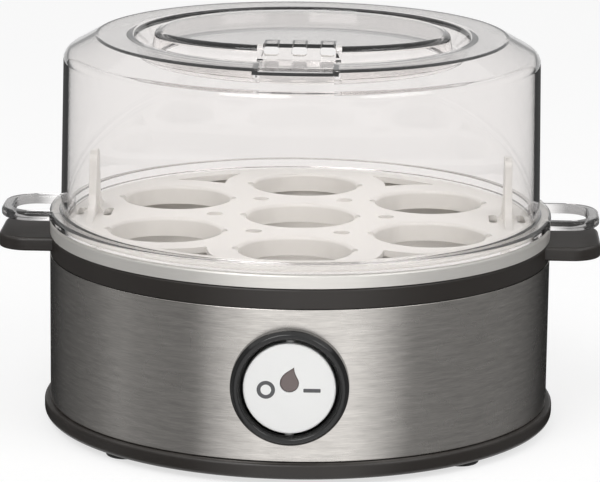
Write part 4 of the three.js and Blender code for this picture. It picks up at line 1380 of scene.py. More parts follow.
@dataclass
class UpperRing(Assembly):
    """The black ring over the band, with its two side lugs and the four posts that the pan's screws hold."""

    pan: BasePan
    outer: float = 92.5
    bottom: float = 63.1
    top: float = 70.2
    shelf: float = 67.2
    bore: float = 80.5
    skirt_outer: float = 91.7
    skirt_inner: float = 89.5
    skirt_bottom: float = 59.5
    lug_start: float = 86.0
    lug_reach: float = 110.8
    lug_width: float = 42.0
    lug_bottom: float = 65.2
    lug_corner: float = 11.0
    lug_wall: float = 2.4
    lug_gap: float = 0.6
    lug_edges: Point = (0.7, 1.4)
    pocket_edge: float = 0.8
    post_radius: float = 4.5
    post_bottom: float = 9.4
    pilot_top: float = 23.4
    path_radius: float = 90.0
    sides: int = 200

    def build(self) -> None:
        """Builds the ring."""
        form = self.shop.lathe.turned(filleted([
            (self.skirt_inner, self.skirt_bottom, 0.5), (self.skirt_outer, self.skirt_bottom, 0.5),
            (self.skirt_outer, self.bottom, 0.1), (self.outer, self.bottom, 0.4), (self.outer, self.top, 1.0),
            (self.bore, self.top, 0.4), (self.bore, self.shelf, 0.4), (self.skirt_inner, self.shelf, 0.8),
        ], True, 4), self.path_radius, self.sides)
        lug = Form.prism(lug_outline(self.lug_start, self.lug_reach, self.lug_width, self.lug_corner),
                         self.lug_bottom, self.top, *self.lug_edges)
        lug = lug.cut(Form.post(self.skirt_inner + self.lug_gap, 0, 2 * self.top, sides=self.sides))
        wall = self.lug_wall
        hollow = lug_outline(self.outer, self.lug_reach - wall, self.lug_width - 2 * wall,
                             self.lug_corner - wall)
        pocket = Form.prism(hollow, self.lug_bottom - 2 * CLEAR, self.top - wall, 0, self.pocket_edge)
        form = form.add(lug, lug.opposite()).cut(pocket, pocket.opposite())
        for x, y in self.pan.post_spots():
            form = form.add(Form.post(self.post_radius, self.post_bottom, self.shelf + CLEAR, x, y))
            form = form.cut(Form.post(self.pan.screw_bore, self.post_bottom - CLEAR, self.pilot_top, x, y))
        self.shop.finish(form, "upper_ring_fine", Body.ROOT, Slot.BASE_BLACK, ["upper_ring"])


@dataclass
class HeatingDish(Assembly):
    """The stainless dish whose rolled rim shows as the satin collar."""

    wall: float = 0.8
    floor: float = 58.8
    floor_radius: float = 75.0
    ledge: float = 73.6
    ledge_inner: float = 79.0
    ledge_outer: float = 87.4
    collar_inner: float = 88.2
    rim: float = 75.3
    outer: float = 92.5
    bottom: float = 70.4
    stud_place: float = 52.0
    stud_radius: float = 2.0
    stud_bottom: float = 30.3
    sides: int = 220

    def build(self) -> None:
        """Builds the dish and its two studs."""
        face = filleted([
            (0, self.floor, 0), (self.floor_radius, self.floor, 3.5), (self.ledge_inner, self.ledge, 1.6),
            (self.ledge_outer, self.ledge, 0.9), (self.collar_inner, self.rim, 0.5),
            (self.outer, self.rim, 1.1), (self.outer, self.bottom, 0),
        ])
        back = offset(face, -self.wall)[::-1]
        back[-1] = (0.0, self.floor - self.wall)
        form = Form.turned([*face, *back], self.sides)
        top = self.floor - self.wall / 2
        for side in (-1, 1):
            form = form.add(Form.post(self.stud_radius, self.stud_bottom, top, side * self.stud_place))
        self.shop.finish(form, "dish_and_collar", Body.ROOT, Slot.DISH_STEEL, ["heating_dish"])


@dataclass
class Button(Assembly):
    """The round bezel, the white rocker in it, its drop window and its two printed signs.

    The window's soft edge is given as steps of how far it shrinks and how deep it lies.
    """

    SOFT_EDGE: ClassVar[Sequence[Point]] = ((0.0, 0.35), (0.025, 0.16), (0.08, 0.04), (0.16, 0.0))

    height: float = 35.55
    front: float = -97.0
    bezel_radius: float = 20.75
    bezel_crest: float = 19.1
    bezel_bore: float = 17.15
    barrel_radius: float = 18.9
    barrel_back: float = -78.5
    body_radius: float = 92.7
    body_span: Point = (-30.0, 30.0)
    body_sides: int = 240
    face: float = -96.3
    crown: float = 0.35
    crown_steps: int = 8
    radius: float = 16.15
    edge: float = 1.3
    skirt: float = 6.0
    wall: float = 1.8
    trunnion_radius: float = 1.6
    trunnion_place: float = -91.9
    trunnion_tip: float = 18.45
    trunnion_gap: float = 0.1
    trunnion_sides: int = 24
    drop_width: float = 6.4
    drop_height: float = 8.8
    drop_rise: float = 3.4
    drop_lean: float = 1.6
    drop_gap: float = 0.12
    drop_steps: int = 14
    belly_steps: int = 24
    drop_middle: Point = (0.35, -0.9)
    sign_rise: float = -0.35
    ring_place: float = -8.15
    ring_radius: float = 3.2
    ring_sides: int = 64
    dash_place: float = 7.85
    dash_length: float = 6.0
    stroke: float = 1.35
    dash_round: float = 0.3
    print_proud: float = 0.03
    print_sink: float = 0.02
    sides: int = 128

    def face_depth(self, x: float, z: float) -> float:
        """How far forward the crowned face lies at a point."""
        return self.face + self.crown * (x * x + z * z) / (self.radius - self.edge) ** 2

    def bezel(self) -> None:
        """Builds the bezel with its barrel."""
        outline = filleted([
            (self.bezel_bore, self.barrel_back, 0), (self.bezel_radius, self.barrel_back, 0),
            (self.bezel_radius, self.front + 1.7, 1.6), (self.bezel_crest + 0.3, self.front, 1.2),
            (self.bezel_crest - 0.9, self.front + 0.1, 0.8), (self.bezel_bore, self.front + 1.9, 0.6),
        ], True, 6)
        flange = Form.turned(outline, self.sides, Axis.DEPTH)
        flange = flange.cut(Form.post(self.body_radius, *self.body_span, sides=self.body_sides))
        front, back = self.front + 2.2, self.barrel_back
        barrel = Form.turned([(self.bezel_bore, front), (self.barrel_radius, front),
                              (self.barrel_radius, back), (self.bezel_bore, back)], self.sides, Axis.DEPTH)
        reach = self.barrel_radius
        hole = Form.post(self.trunnion_radius + self.trunnion_gap, -reach, reach, 0, self.trunnion_place,
                         self.trunnion_sides)
        form = flange.add(barrel).cut(hole).move(0, 0, self.height)
        self.shop.finish(form, "bezel_fine", Body.ROOT, Slot.BEZEL_BLACK, ["button_bezel"], 40)

    def drop(self, grow: float) -> list[Point]:
        """The outline of the drop, tip leaning right, grown by a gap.

        Args:
            grow: How far the outline lies outside the drop itself.

        Returns:
            Its points, counter-clockwise as seen from the front.
        """
        half = self.drop_width / 2 + grow
        low = -self.drop_height / 2 - grow
        belly = low + half
        rise = -low - belly
        tip = Vector((self.drop_lean, -low))
        curves = [
            (tip, Vector((0.1 * half, belly + 0.78 * rise)), Vector((-0.97 * half, belly + 0.6 * rise)),
             Vector((-half, belly))),
            (Vector((half, belly)), Vector((half, belly + 0.3 * rise)),
             Vector((0.47 * half, belly + 0.52 * rise)), tip),
        ]
        steps = self.drop_steps
        left, right = ([self._bezier(curve, k / steps) for k in range(steps + 1)] for curve in curves)
        turns = [math.pi + math.pi * k / self.belly_steps for k in range(1, self.belly_steps)]
        arc = [Vector((half * math.cos(turn), belly + half * math.sin(turn))) for turn in turns]
        return [(p.x, p.y) for p in left + arc + right[:-1]]

    @staticmethod
    def _bezier(curve: Sequence[Vector], t: float) -> Vector:
        """A point on a cubic curve."""
        a, b, c, d = curve
        s = 1 - t
        return a * s**3 + b * 3 * s * s * t + c * 3 * s * t * t + d * t**3

    def _plate(self, outline: Sequence[Point]) -> Form:
        """A printed sign's plate, which follows the crowned face."""
        return Form.stacked([[(x, self.face_depth(x, z) + depth, z) for x, z in outline]
                             for depth in (self.print_sink, -self.print_proud)])

    def rocker(self) -> None:
        """Builds the rocker's cup with its trunnions and the window for the drop."""
        rim = self.radius - self.edge
        places = [rim * k / self.crown_steps for k in range(self.crown_steps + 1)]
        dome = [(place, self.face_depth(place, 0)) for place in places]
        edge = filleted([(rim, self.face_depth(rim, 0), 0), (self.radius, self.face + 0.5, 0.9),
                         (self.radius, self.face + self.skirt, 0)])[1:]
        inner = self.radius - self.wall
        floor = self.face + self.edge + self.wall
        back = [(inner, self.face + self.skirt), (inner, floor), (0, floor)]
        form = Form.turned([*dome, *edge, *back], self.sides, Axis.DEPTH)
        root = self.radius - self.wall / 2
        for low, high in ((root, self.trunnion_tip), (-self.trunnion_tip, -root)):
            form = form.add(Form.post(self.trunnion_radius, low, high, 0, self.trunnion_place,
                                      self.trunnion_sides))
        outline = [(x, z + self.drop_rise) for x, z in self.drop(self.drop_gap)]
        window = Form.along(outline, self.face - 5 * CLEAR, self.face + self.skirt)
        form = form.cut(window).move(0, 0, self.height)
        self.shop.finish(form, "rocker_fine", Body.ROCKER, Slot.BUTTON_WHITE, ["rocker_button"], 40)

    def lens(self) -> None:
        """Builds the smoked drop window with a soft front edge."""
        back = self.face + self.edge + self.wall
        outline, middle = [Vector(spot) for spot in self.drop(0)], Vector(self.drop_middle)
        rings = []
        for shrink, depth in ((0.0, back), *((share, self.face + depth) for share, depth in self.SOFT_EDGE)):
            spots = [spot + (middle - spot) * shrink for spot in outline]
            rings.append([(spot.x, depth, spot.y + self.drop_rise) for spot in spots])
        form = Form.stacked(rings).move(0, 0, self.height)
        self.shop.finish(form, "drop_window", Body.ROCKER, Slot.LENS_SMOKE, ["indicator_lens"], 50)

    def signs(self) -> None:
        """Prints the ring and the dash on the rocker's face."""
        outer, inner = self.ring_radius, self.ring_radius - self.stroke
        angles = [2 * math.pi * k / self.ring_sides for k in range(self.ring_sides)]
        x, z = self.ring_place, self.sign_rise
        rims = [[(x + radius * math.cos(a), z + radius * math.sin(a)) for a in angles]
                for radius in (outer, inner)]
        disc = self._plate(rims[0])
        hole = Form.along(rims[1], self.face - 2 * CLEAR, self.face + 2 * CLEAR)
        off = disc.cut(hole).move(0, 0, self.height)
        off.finish("sign_off_ring", Body.ROCKER, self.shop.paint.print, sharp=40)
        dash = rounded_box(self.dash_length, self.stroke, self.dash_round, x=self.dash_place, y=z)
        on = self._plate(dash).move(0, 0, self.height)
        on.finish("sign_on_dash", Body.ROCKER, self.shop.paint.print, sharp=40)

    def build(self) -> None:
        """Builds the whole button."""
        self.bezel()
        self.rocker()
        self.lens()
        self.signs()


@dataclass
class CordGland(Assembly):
    """The black bushing in the back of the band."""

    height: float = 20.0
    bore: float = 3.9
    flange_radius: float = 8.5
    flange_front: float = 86.0
    flange_back: float = 97.0
    barrel_radius: float = 6.2
    barrel_front: float = 78.0
    barrel_back: float = 94.0
    collar_radius: float = 7.8
    collar_length: float = 3.0
    collar_back: float = 92.0
    collar_span: Point = (5.0, 35.0)
    body_radius: float = 92.7
    body_span: Point = (-5.0, 50.0)
    body_sides: int = 240
    inner_radius: float = 91.7
    groove_count: int = 3
    groove_pitch: float = 2.0
    groove_place: float = 82.0
    groove_width: float = 1.0
    groove_depth: float = 0.5
    sides: int = 64

    def _round(self, outline: Sequence[Point]) -> Form:
        """A round of the gland, turned about its own axis."""
        return Form.turned(outline, self.sides, Axis.DEPTH).move(0, 0, self.height)

    def build(self) -> None:
        """Builds the gland with a rounded flange and fine grip rings."""
        flange = self._round(filleted([
            (self.bore, self.flange_front, 0), (self.flange_radius, self.flange_front, 0),
            (self.flange_radius, self.flange_back - 0.4, 1.8), (self.bore + 1.6, self.flange_back, 0.8),
            (self.bore, self.flange_back - 1.2, 0.6),
        ], True))
        flange = flange.cut(Form.post(self.body_radius, *self.body_span, sides=self.body_sides))
        barrel = self._round(filleted([
            (self.bore, self.barrel_front, 0.3), (self.barrel_radius, self.barrel_front, 0.6),
            (self.barrel_radius, self.barrel_back, 0), (self.bore, self.barrel_back, 0),
        ], True))
        low, high = self.barrel_radius - self.groove_depth, self.barrel_radius + CLEAR
        half = self.groove_width / 2
        groove = Form.turned([(low, -half), (high, -half), (high, half), (low, half)], self.sides, Axis.DEPTH)
        grooves = self.shop.rows.row(groove, self.groove_count, (0, self.groove_pitch, 0))
        grooves = grooves.move(0, self.groove_place, self.height)
        front = self.inner_radius - self.collar_length
        collar = self._round([(self.bore, front), (self.collar_radius, front),
                              (self.collar_radius, self.collar_back), (self.bore, self.collar_back)])
        drum = Form.post(self.inner_radius, *self.collar_span, sides=self.body_sides)
        collar = collar.join(drum, Join.KEEP)
        form = barrel.cut(grooves).add(flange, collar)
        self.shop.finish(form, "cord_gland_fine", Body.ROOT, Slot.BASE_BLACK, ["cord_gland"], 40)


@dataclass
class EggTray(Assembly):
    """The white tray with seven egg seats, steam openings and two lifting fins."""

    top: float = 76.0
    thickness: float = 2.2
    radius: float = 85.8
    seat_radius: float = 20.0
    seat_ring: float = 55.0
    seat_count: int = 6
    seat_angle: float = 30.0
    seat_flare: float = 1.4
    skirt_wall: float = 1.5
    skirt_drop: float = 4.8
    notch_radius: float = 2.4
    steam_radius: float = 3.0
    drain_radius: float = 1.5
    drain_length: float = 13.0
    slot_outer: float = 77.2
    slot_margin: float = 11.0
    slot_steps: int = 8
    apex_round: float = 0.8
    end_round: float = 0.6
    slot_angles: tuple[float, ...] = (60.0, 120.0, 240.0, 300.0)
    locator_outer: float = 76.7
    locator_wall: float = 1.6
    locator_drop: float = 2.6
    fin_place: float = 76.5
    fin_thickness: float = 2.8
    fin_height: float = 23.6
    fin_foot: float = 38.0
    fin_knee: Point = (22.0, 2.4)
    fin_waist: Point = (15.0, 7.0)
    fin_tip: float = 9.0
    web_width: float = 6.8
    web_waist: Point = (4.4, 2.4)
    web_height: float = 8.0
    drain_offset: float = 5.2
    cut_low: float = -20.0
    cut_top: float = 5.0
    seat_sides: int = 72
    notch_sides: int = 20
    locator_path: float = 75.0
    locator_sides: int = 160
    sides: int = 200

    def seat_cutter(self) -> Form:
        """The hole of one seat, with a round rim and its two finger notches.

        Returns:
            The cutter, with the tray's top at zero.
        """
        low, top = -self.thickness - self.skirt_drop - 3 * CLEAR, 4 * CLEAR
        radius, flare = self.seat_radius, self.seat_flare
        rim = [(radius + out, -down) for out, down in rounding(flare, 5)]
        outline = [(0, low), (radius, low), *rim, (radius + flare, top), (0, top)]
        cutter = Form.turned(outline, self.seat_sides)
        for side in (-1, 1):
            cutter = cutter.add(Form.post(self.notch_radius, low, top, side * radius, 0, self.notch_sides))
        return cutter

    def steam_slot(self) -> Form:
        """One steam slot between two seats and the rim, at the +X side.

        Returns:
            Its cutter.
        """
        angle = math.radians(self.seat_angle)
        ring, reach = self.seat_ring, self.seat_radius + self.slot_margin
        seat = Vector((ring * math.cos(angle), ring * math.sin(angle)))
        apex = -math.asin(seat.y / reach)
        spread = (ring**2 + reach**2 - self.slot_outer**2) / (2 * ring * reach)
        end = angle - math.pi + math.acos(spread)
        steps = self.slot_steps
        turns = [apex + (end - apex) * k / steps for k in range(steps + 1)]
        side = [(seat.x + reach * math.cos(a), seat.y + reach * math.sin(a)) for a in turns]
        half = math.atan2(side[-1][1], side[-1][0])
        rim = [(self.slot_outer * math.cos(a), self.slot_outer * math.sin(a))
               for a in (half * (1 - 2 * k / steps) for k in range(1, steps))]
        mirrored = [(x, -y) for x, y in side[:0:-1]]
        corners = {side[0]: self.apex_round, side[-1]: self.end_round, mirrored[0]: self.end_round}
        points = [(*p, corners.get(p, 0.0)) for p in (*side, *rim, *mirrored)]
        outline = filleted(points[::-1], True, 4)[::-1]
        return Form.prism(outline, -self.thickness - 4 * CLEAR, 4 * CLEAR)

    def fin(self) -> Form:
        """One lifting fin in the YZ plane with a short web across it, standing at the origin.

        Returns:
            The solid.
        """
        half, tip = self.fin_foot / 2, self.fin_tip / 2
        low = -self.thickness / 2
        right = [(half, 0.0, 0.2), (self.fin_knee[0] / 2, self.fin_knee[1], 8.0),
                 (self.fin_waist[0] / 2, self.fin_waist[1], 6.0),
                 (tip, self.fin_height, 2 * CORNER_SHARE * tip)]
        left = [(-y, z, radius) for y, z, radius in reversed(right)]
        outline = filleted([(-half, low, 0), (half, low, 0), *right, *left], True, 8)
        blade = Form.across(outline, self.fin_thickness).eased(0.45, 3)
        slim = self.fin_thickness / 2
        right = [(self.web_width / 2, 0.0, 0.3), (self.web_waist[0] / 2, self.web_waist[1], 2.5),
                 (slim, self.web_height, 0.3)]
        left = [(-x, z, radius) for x, z, radius in reversed(right)]
        half = self.web_width / 2
        outline = filleted([(-half, low, 0), (half, low, 0), *right, *left], True, 5)
        web = Form.across(outline, self.fin_thickness).eased(0.4, 2).turn("Z", 90)
        return blade.add(web)

    def build(self) -> None:
        """Builds the tray."""
        thick = self.thickness
        form = Form.turned(filleted([
            (0, -thick, 0), (self.radius, -thick, 0.5), (self.radius, 0, 0.9), (0, 0, 0),
        ]), self.sides)
        outer, foot = self.locator_outer, -thick - self.locator_drop
        inner = outer - self.locator_wall
        locator = self.shop.lathe.turned(filleted([
            (inner, foot, 0.4), (outer, foot, 0.4), (outer, -thick / 2, 0), (inner, -thick / 2, 0),
        ], True, 3), self.locator_path, self.locator_sides)
        form = form.add(locator)
        outer, foot = self.seat_radius + self.skirt_wall, -thick - self.skirt_drop
        skirt = Form.turned(filleted([
            (0, foot, 0), (outer, foot, 0.4), (outer, -thick / 2, 0), (0, -thick / 2, 0),
        ]), self.seat_sides)
        cutter = self.seat_cutter()
        for piece, how in ((skirt, Join.ADD), (cutter, Join.CUT)):
            form = form.join(piece, how)
            seats = self.shop.rings.ring(piece, self.seat_count, self.seat_ring, self.seat_angle, level=True)
            form = form.join(seats, how)
        steam = Form.post(self.steam_radius, self.cut_low, self.cut_top)
        form = form.cut(self.shop.rings.ring(steam, self.seat_count, self.seat_ring / math.sqrt(3), 0))
        slot = self.steam_slot()
        form = form.cut(*[slot.copy().turn("Z", angle) for angle in self.slot_angles])
        wide = 2 * self.drain_radius
        outline = rounded_box(wide, self.drain_length, CORNER_SHARE * wide, 8)
        drain = Form.prism(outline, self.cut_low, self.cut_top)
        drains = self.shop.rows.row(drain, 2, (2 * self.drain_offset, 0, 0))
        for side in (-1, 1):
            form = form.add(self.fin().move(side * self.fin_place, 0, 0))
            form = form.cut(drains.copy().move(side * self.fin_place, 0, 0))
        form = form.move(0, 0, self.top)
        self.shop.finish(form, "egg_tray_fine", Body.TRAY, Slot.TRAY_WHITE, ["egg_tray"], 35)


@dataclass
class ClearLid(Assembly):
    """The clear cover: wall, flange, loop handles, recessed top, oval grip and steam channel."""

    INNER_ROUNDS: ClassVar[Sequence[float]] = (0, 2.5, 1.0, 2.6, 2.6, 0)

    base: float = 75.5
    wall: float = 2.0
    foot_radius: float = 88.4
    shoulder_radius: float = 87.3
    shoulder_height: float = 61.8
    top_radius: float = 75.3
    top_height: float = 68.5
    recess_radius: float = 61.8
    recess_floor: float = 58.4
    recess_depth: float = 7.0
    flange_radius: float = 92.6
    flange_thickness: float = 3.4
    loop_reach: float = 110.2
    loop_width: float = 34.0
    loop_band: float = 4.6
    loop_corner: float = 12.0
    loop_round: float = 1.1
    grip_length: float = 108.0
    grip_front: float = 35.5
    grip_back: float = 50.0
    grip_rise: float = 1.1
    grip_draft: float = 1.03
    grip_round: float = 1.8
    hollow_round: float = 0.8
    grip_sides: int = 128
    vent_foot: float = -35.0
    vent_setback: float = 6.0
    channel_width: float = 26.0
    channel_inner_drop: float = 3.5
    channel_outer_drop: float = 0.9
    slot_width: float = 5.5
    slot_height: float = 2.7
    slot_pitch: float = 10.1
    slot_round: float = 0.9
    slot_reach: float = 12.0
    slot_count: int = 3
    overlap: float = 0.04
    lining_share: float = 0.02
    sides: int = 200

    def walls(self) -> list[Corner]:
        """The outer line of the shell from its foot up and in.

        Returns:
            Its corners, each as its radius, its height and its rounding.
        """
        floor = self.top_height - self.recess_depth
        return [
            (self.foot_radius, 0, 0.8), (self.shoulder_radius, self.shoulder_height, 4.5),
            (self.top_radius, self.top_height, 2.2), (self.recess_radius, self.top_height, 1.4),
            (self.recess_floor, floor, 1.0), (0, floor, 0),
        ]

    def flange(self) -> list[Corner]:
        """The flange's outline, from the axis out to where it meets the wall."""
        return [(0, 0, 0), (self.flange_radius, 0, 0.6), (self.flange_radius, self.flange_thickness, 1.0)]

    def oval(self, shrink: float, low: float, top: float, edge: float) -> Form:
        """The oval grip's outer form or hollow.

        Args:
            shrink: How far inside the grip's outer wall it lies.
            low: Its lower face.
            top: Its upper face.
            edge: The radius of its top edge.

        Returns:
            The solid.
        """
        rings = []
        turns = [2 * math.pi * k / self.grip_sides for k in range(self.grip_sides)]
        reaches = (self.grip_length / 2, self.grip_back, self.grip_front)
        for inward, height in [(0.0, low), *((d, top - h) for d, h in rounding(edge, 5))]:
            draft = 1 + (self.grip_draft - 1) * (top - height) / (top - low)
            long, back, front = (reach * draft - shrink - inward for reach in reaches)
            wide = [back if turn <= math.pi else front for turn in turns]
            rings.append([(long * math.cos(turn), reach * math.sin(turn), height)
                          for turn, reach in zip(turns, wide)])
        return Form.stacked(rings)

    def channel(self, grow: float) -> list[Point]:
        """The steam channel's outline in Y and Z.

        Args:
            grow: How far its lining lies outside it, or zero for the channel itself.

        Returns:
            The outline's points.
        """
        foot = self.top_height - self.channel_inner_drop - self.overlap - self.lining_share * grow
        run = self.top_radius + self.vent_foot
        slope = (self.channel_inner_drop - self.channel_outer_drop) / run
        reach = run + 10 * CLEAR
        end = self.vent_foot - reach
        top = self.top_height + self.grip_rise
        above = top + 5 * CLEAR
        crest = self.vent_foot + self.vent_setback + grow
        return [(self.vent_foot + grow, foot - grow), (end, foot + slope * reach - grow), (end, above),
                (crest, above), (crest, top)]

    def shell(self, loop: Form) -> Form:
        """Builds the cover with its grip and its steam channel.

        Args:
            loop: One loop handle, at the +X side.

        Returns:
            The cover, with a loop at either side.
        """
        wall = self.wall
        top = self.top_height + self.grip_rise
        foot = self.top_height - self.channel_inner_drop
        low = self.top_height - self.recess_depth - wall / 2
        crest = self.vent_foot + self.vent_setback
        line = self.walls()
        inner = offset([(r, z) for r, z, _ in line], wall)
        inside = filleted([(r, z, radius) for (r, z), radius in zip(inner, self.INNER_ROUNDS)])
        root = (self.foot_radius, self.flange_thickness, 0.8)
        outer = Form.turned(filleted([*self.flange(), root, *line[1:]]), self.sides)
        cavity = Form.turned([(inside[0][0], -5 * CLEAR), *inside, (0, -5 * CLEAR)], self.sides)
        bore, lined = self.channel_width, self.channel_width + 2 * wall
        far = -self.recess_radius
        grip = self.oval(0, low, top, self.grip_round)
        bridge = Form.across([(crest, low), (crest, foot), (far, foot), (far, low)], lined)
        low, foot, far = low - wall, foot - wall, -self.recess_floor
        tunnel = Form.across([(crest, low), (crest, foot), (far, foot), (far, low)], bore)
        envelope = outer.add(grip, bridge, loop, loop.opposite())
        hollow = cavity.add(self.oval(wall, low, top - wall, self.hollow_round), tunnel)
        lining = Form.across(self.channel(wall), lined)
        return envelope.cut(hollow.cut(lining)).cut(Form.across(self.channel(0), bore))

    def steam_slots(self) -> Form:
        """The cutters of the three steam slots in the grip's front wall.

        Returns:
            The solid.
        """
        outline = rounded_box(self.slot_width, self.slot_height, self.slot_round)
        cutter = Form.along(outline, -self.slot_reach, self.slot_reach)
        middle = self.top_height + (self.grip_rise - self.channel_inner_drop) / 2
        row = self.shop.rows.row(cutter, self.slot_count, (self.slot_pitch, 0, 0))
        return row.move(0, self.vent_foot + self.vent_setback / 2, middle)

    def loop(self) -> Form:
        """One loop handle, swept along its bent line, at the +X side.

        Returns:
            The solid.
        """
        half = self.loop_band / 2
        middle, reach = self.loop_width / 2 - half, self.loop_reach - half
        start = self.foot_radius - self.wall / 2
        line = [(start, -middle), (reach, -middle), (reach, middle), (start, middle)]
        rail = self.shop.rails.rail(line, self.loop_corner - half, self.loop_band, self.flange_thickness,
                                    self.loop_round)
        return rail.move(0, 0, self.flange_thickness / 2)

    def build(self) -> None:
        """Builds the lid."""
        form = self.shell(self.loop()).cut(self.steam_slots())
        self.shop.finish(form.move(0, 0, self.base), "clear_lid", Body.LID, Slot.LID_CLEAR, ["lid"], 30)


# Studio


@dataclass
class Studio:
    """The camera of the photograph, the pale floor and the soft light.

    The camera's place is in millimetres and all else in metres. The side card's tones run once round
    the body from the back, 0.5 being the front.
    """

    SIDE_TONES: ClassVar[Sequence[Point]] = (
        (0.0, 0.9), (0.08, 0.2), (0.2, 0.04), (0.25, 0.01), (0.286, 0.03), (0.312, 0.09), (0.331, 0.12),
        (0.355, 0.18), (0.376, 0.29), (0.395, 0.22), (0.436, 0.17), (0.456, 0.56), (0.48, 1.0), (0.535, 1.0),
        (0.55, 0.66), (0.574, 0.2), (0.65, 0.19), (0.678, 0.13), (0.699, 0.06), (0.714, 0.02), (0.75, 0.01),
        (0.8, 0.04), (0.92, 0.2), (1.0, 0.9),
    )
    SIDE_MIRRORED: ClassVar[Sequence[Point]] = (
        (0.0, 0.08), (0.289, 0.08), (0.3, 0.56), (0.7, 0.56), (0.711, 0.08), (1.0, 0.08),
    )
    BACK_TONES: ClassVar[Sequence[Point]] = ((0.0, 0.16), (1.0, 0.16))
    BACK_MIRRORED: ClassVar[Sequence[Point]] = ((0.0, 0.56), (1.0, 0.56))
    WHITE: ClassVar[tuple[float, ...]] = (1.0, 1.0, 1.0, 1.0)

    distance: float = 1250.0
    azimuth: float = 1.83
    height: float = 354.0
    pitch: float = 12.97
    roll: float = 0.7
    lens: float = 207.4
    sensor: float = 36.0
    clip: Point = (0.05, 50.0)
    floor_size: float = 6.0
    floor_glow: float = 1.12
    glow_share: float = 0.6
    card_count: int = 180
    card_radius: float = 0.0956
    card_reach: float = 0.8
    card_foot: float = 0.0014
    card_fall: float = 0.0006
    card_glow: float = 1.2
    wall_height: float = 0.62
    wall_first: float = 20.0
    wall_last: float = 76.0
    back_width: float = 2.5
    back_place: float = 1.6
    back_foot: float = 0.2
    back_top: float = 1.4
    inner_floor: float = 0.02
    inner_room: float = 0.06
    world_strength: float = 0.62
    lamp_aim: Spot = (0.0, 0.0, 0.07)
    key_place: Spot = (-0.5, -1.1, 1.3)
    key_size: float = 0.9
    key_power: float = 9.0
    fill_place: Spot = (0.9, -0.7, 0.9)
    fill_size: float = 0.8
    fill_power: float = 4.0

    def camera(self) -> None:
        """Sets the camera where the photograph was taken from."""
        data = bpy.data.cameras.new("photo_camera")
        data.lens = self.lens
        data.sensor_width = self.sensor
        data.clip_start, data.clip_end = self.clip
        camera = placed("photo_camera", data)
        turn, down = math.radians(self.azimuth), math.radians(self.pitch)
        away = Vector((math.sin(turn) * self.distance, -math.cos(turn) * self.distance, self.height))
        ahead = Vector((-math.sin(turn) * math.cos(down), math.cos(turn) * math.cos(down), -math.sin(down)))
        level = ahead.to_track_quat("-Z", "Y").to_matrix().to_4x4()
        tilt = Matrix.Rotation(math.radians(self.roll), 4, "Z")
        camera.location = away * METRE
        camera.rotation_mode = "QUATERNION"
        camera.rotation_quaternion = (level @ tilt).to_quaternion()
        bpy.context.scene.camera = camera

    def floor(self) -> None:
        """Lays the pale floor, which keeps the object's shadow and can't be seen from below."""
        half = self.floor_size / 2
        mesh = bpy.data.meshes.new("floor")
        corners = [(-half, -half, 0), (half, -half, 0), (half, half, 0), (-half, half, 0)]
        mesh.from_pydata(corners, [], [(0, 1, 2, 3)])
        plan, material = Plan.material("pale_floor")
        place = plan.node("ShaderNodeTexCoord").outputs["Object"]
        tone = plan.remap(plan.noise(place, 3.0, 3.0), 0.3, 0.7, 0.9, 0.93)
        grey = plan.node("ShaderNodeCombineColor", None, in0=tone, in1=tone, in2=tone)
        matt = plan.node("ShaderNodeBsdfDiffuse", None, Color=grey)
        glow = plan.node("ShaderNodeEmission", None, Color=self.WHITE, Strength=self.floor_glow)
        path = plan.node("ShaderNodeLightPath").outputs
        lit = plan.mix(plan.math("MULTIPLY", self.seen_ray(plan, path), self.glow_share), matt, glow)
        dim = plan.node("ShaderNodeEmission", None, Color=self.WHITE, Strength=self.inner_floor)
        toned = plan.mix(self.inner_ray(plan, path), lit, dim)
        under = plan.node("ShaderNodeNewGeometry").outputs["Backfacing"]
        both = plan.mix(under, toned, plan.node("ShaderNodeBsdfTransparent"))
        plan.node("ShaderNodeOutputMaterial", None, Surface=both)
        mesh.materials.append(material)
        placed("floor", mesh)

    @staticmethod
    def seen_ray(plan: Plan, path: bpy.types.bpy_prop_collection) -> bpy.types.NodeSocket:
        """One for a ray that shows in the picture, straight, mirrored or through something clear."""
        mirrored = plan.math("MAXIMUM", path["Is Glossy Ray"], path["Is Transmission Ray"])
        return plan.math("MAXIMUM", path["Is Camera Ray"], mirrored)

    @staticmethod
    def inner_ray(plan: Plan, path: bpy.types.bpy_prop_collection) -> bpy.types.NodeSocket:
        """One for a ray thrown about inside a clear wall, which would meet the dark of a real room."""
        once = plan.math("COMPARE", path["Transmission Depth"], 1.5, 1.0)
        return plan.math("MULTIPLY", plan.math("GREATER_THAN", path["Glossy Depth"], 0.5), once)

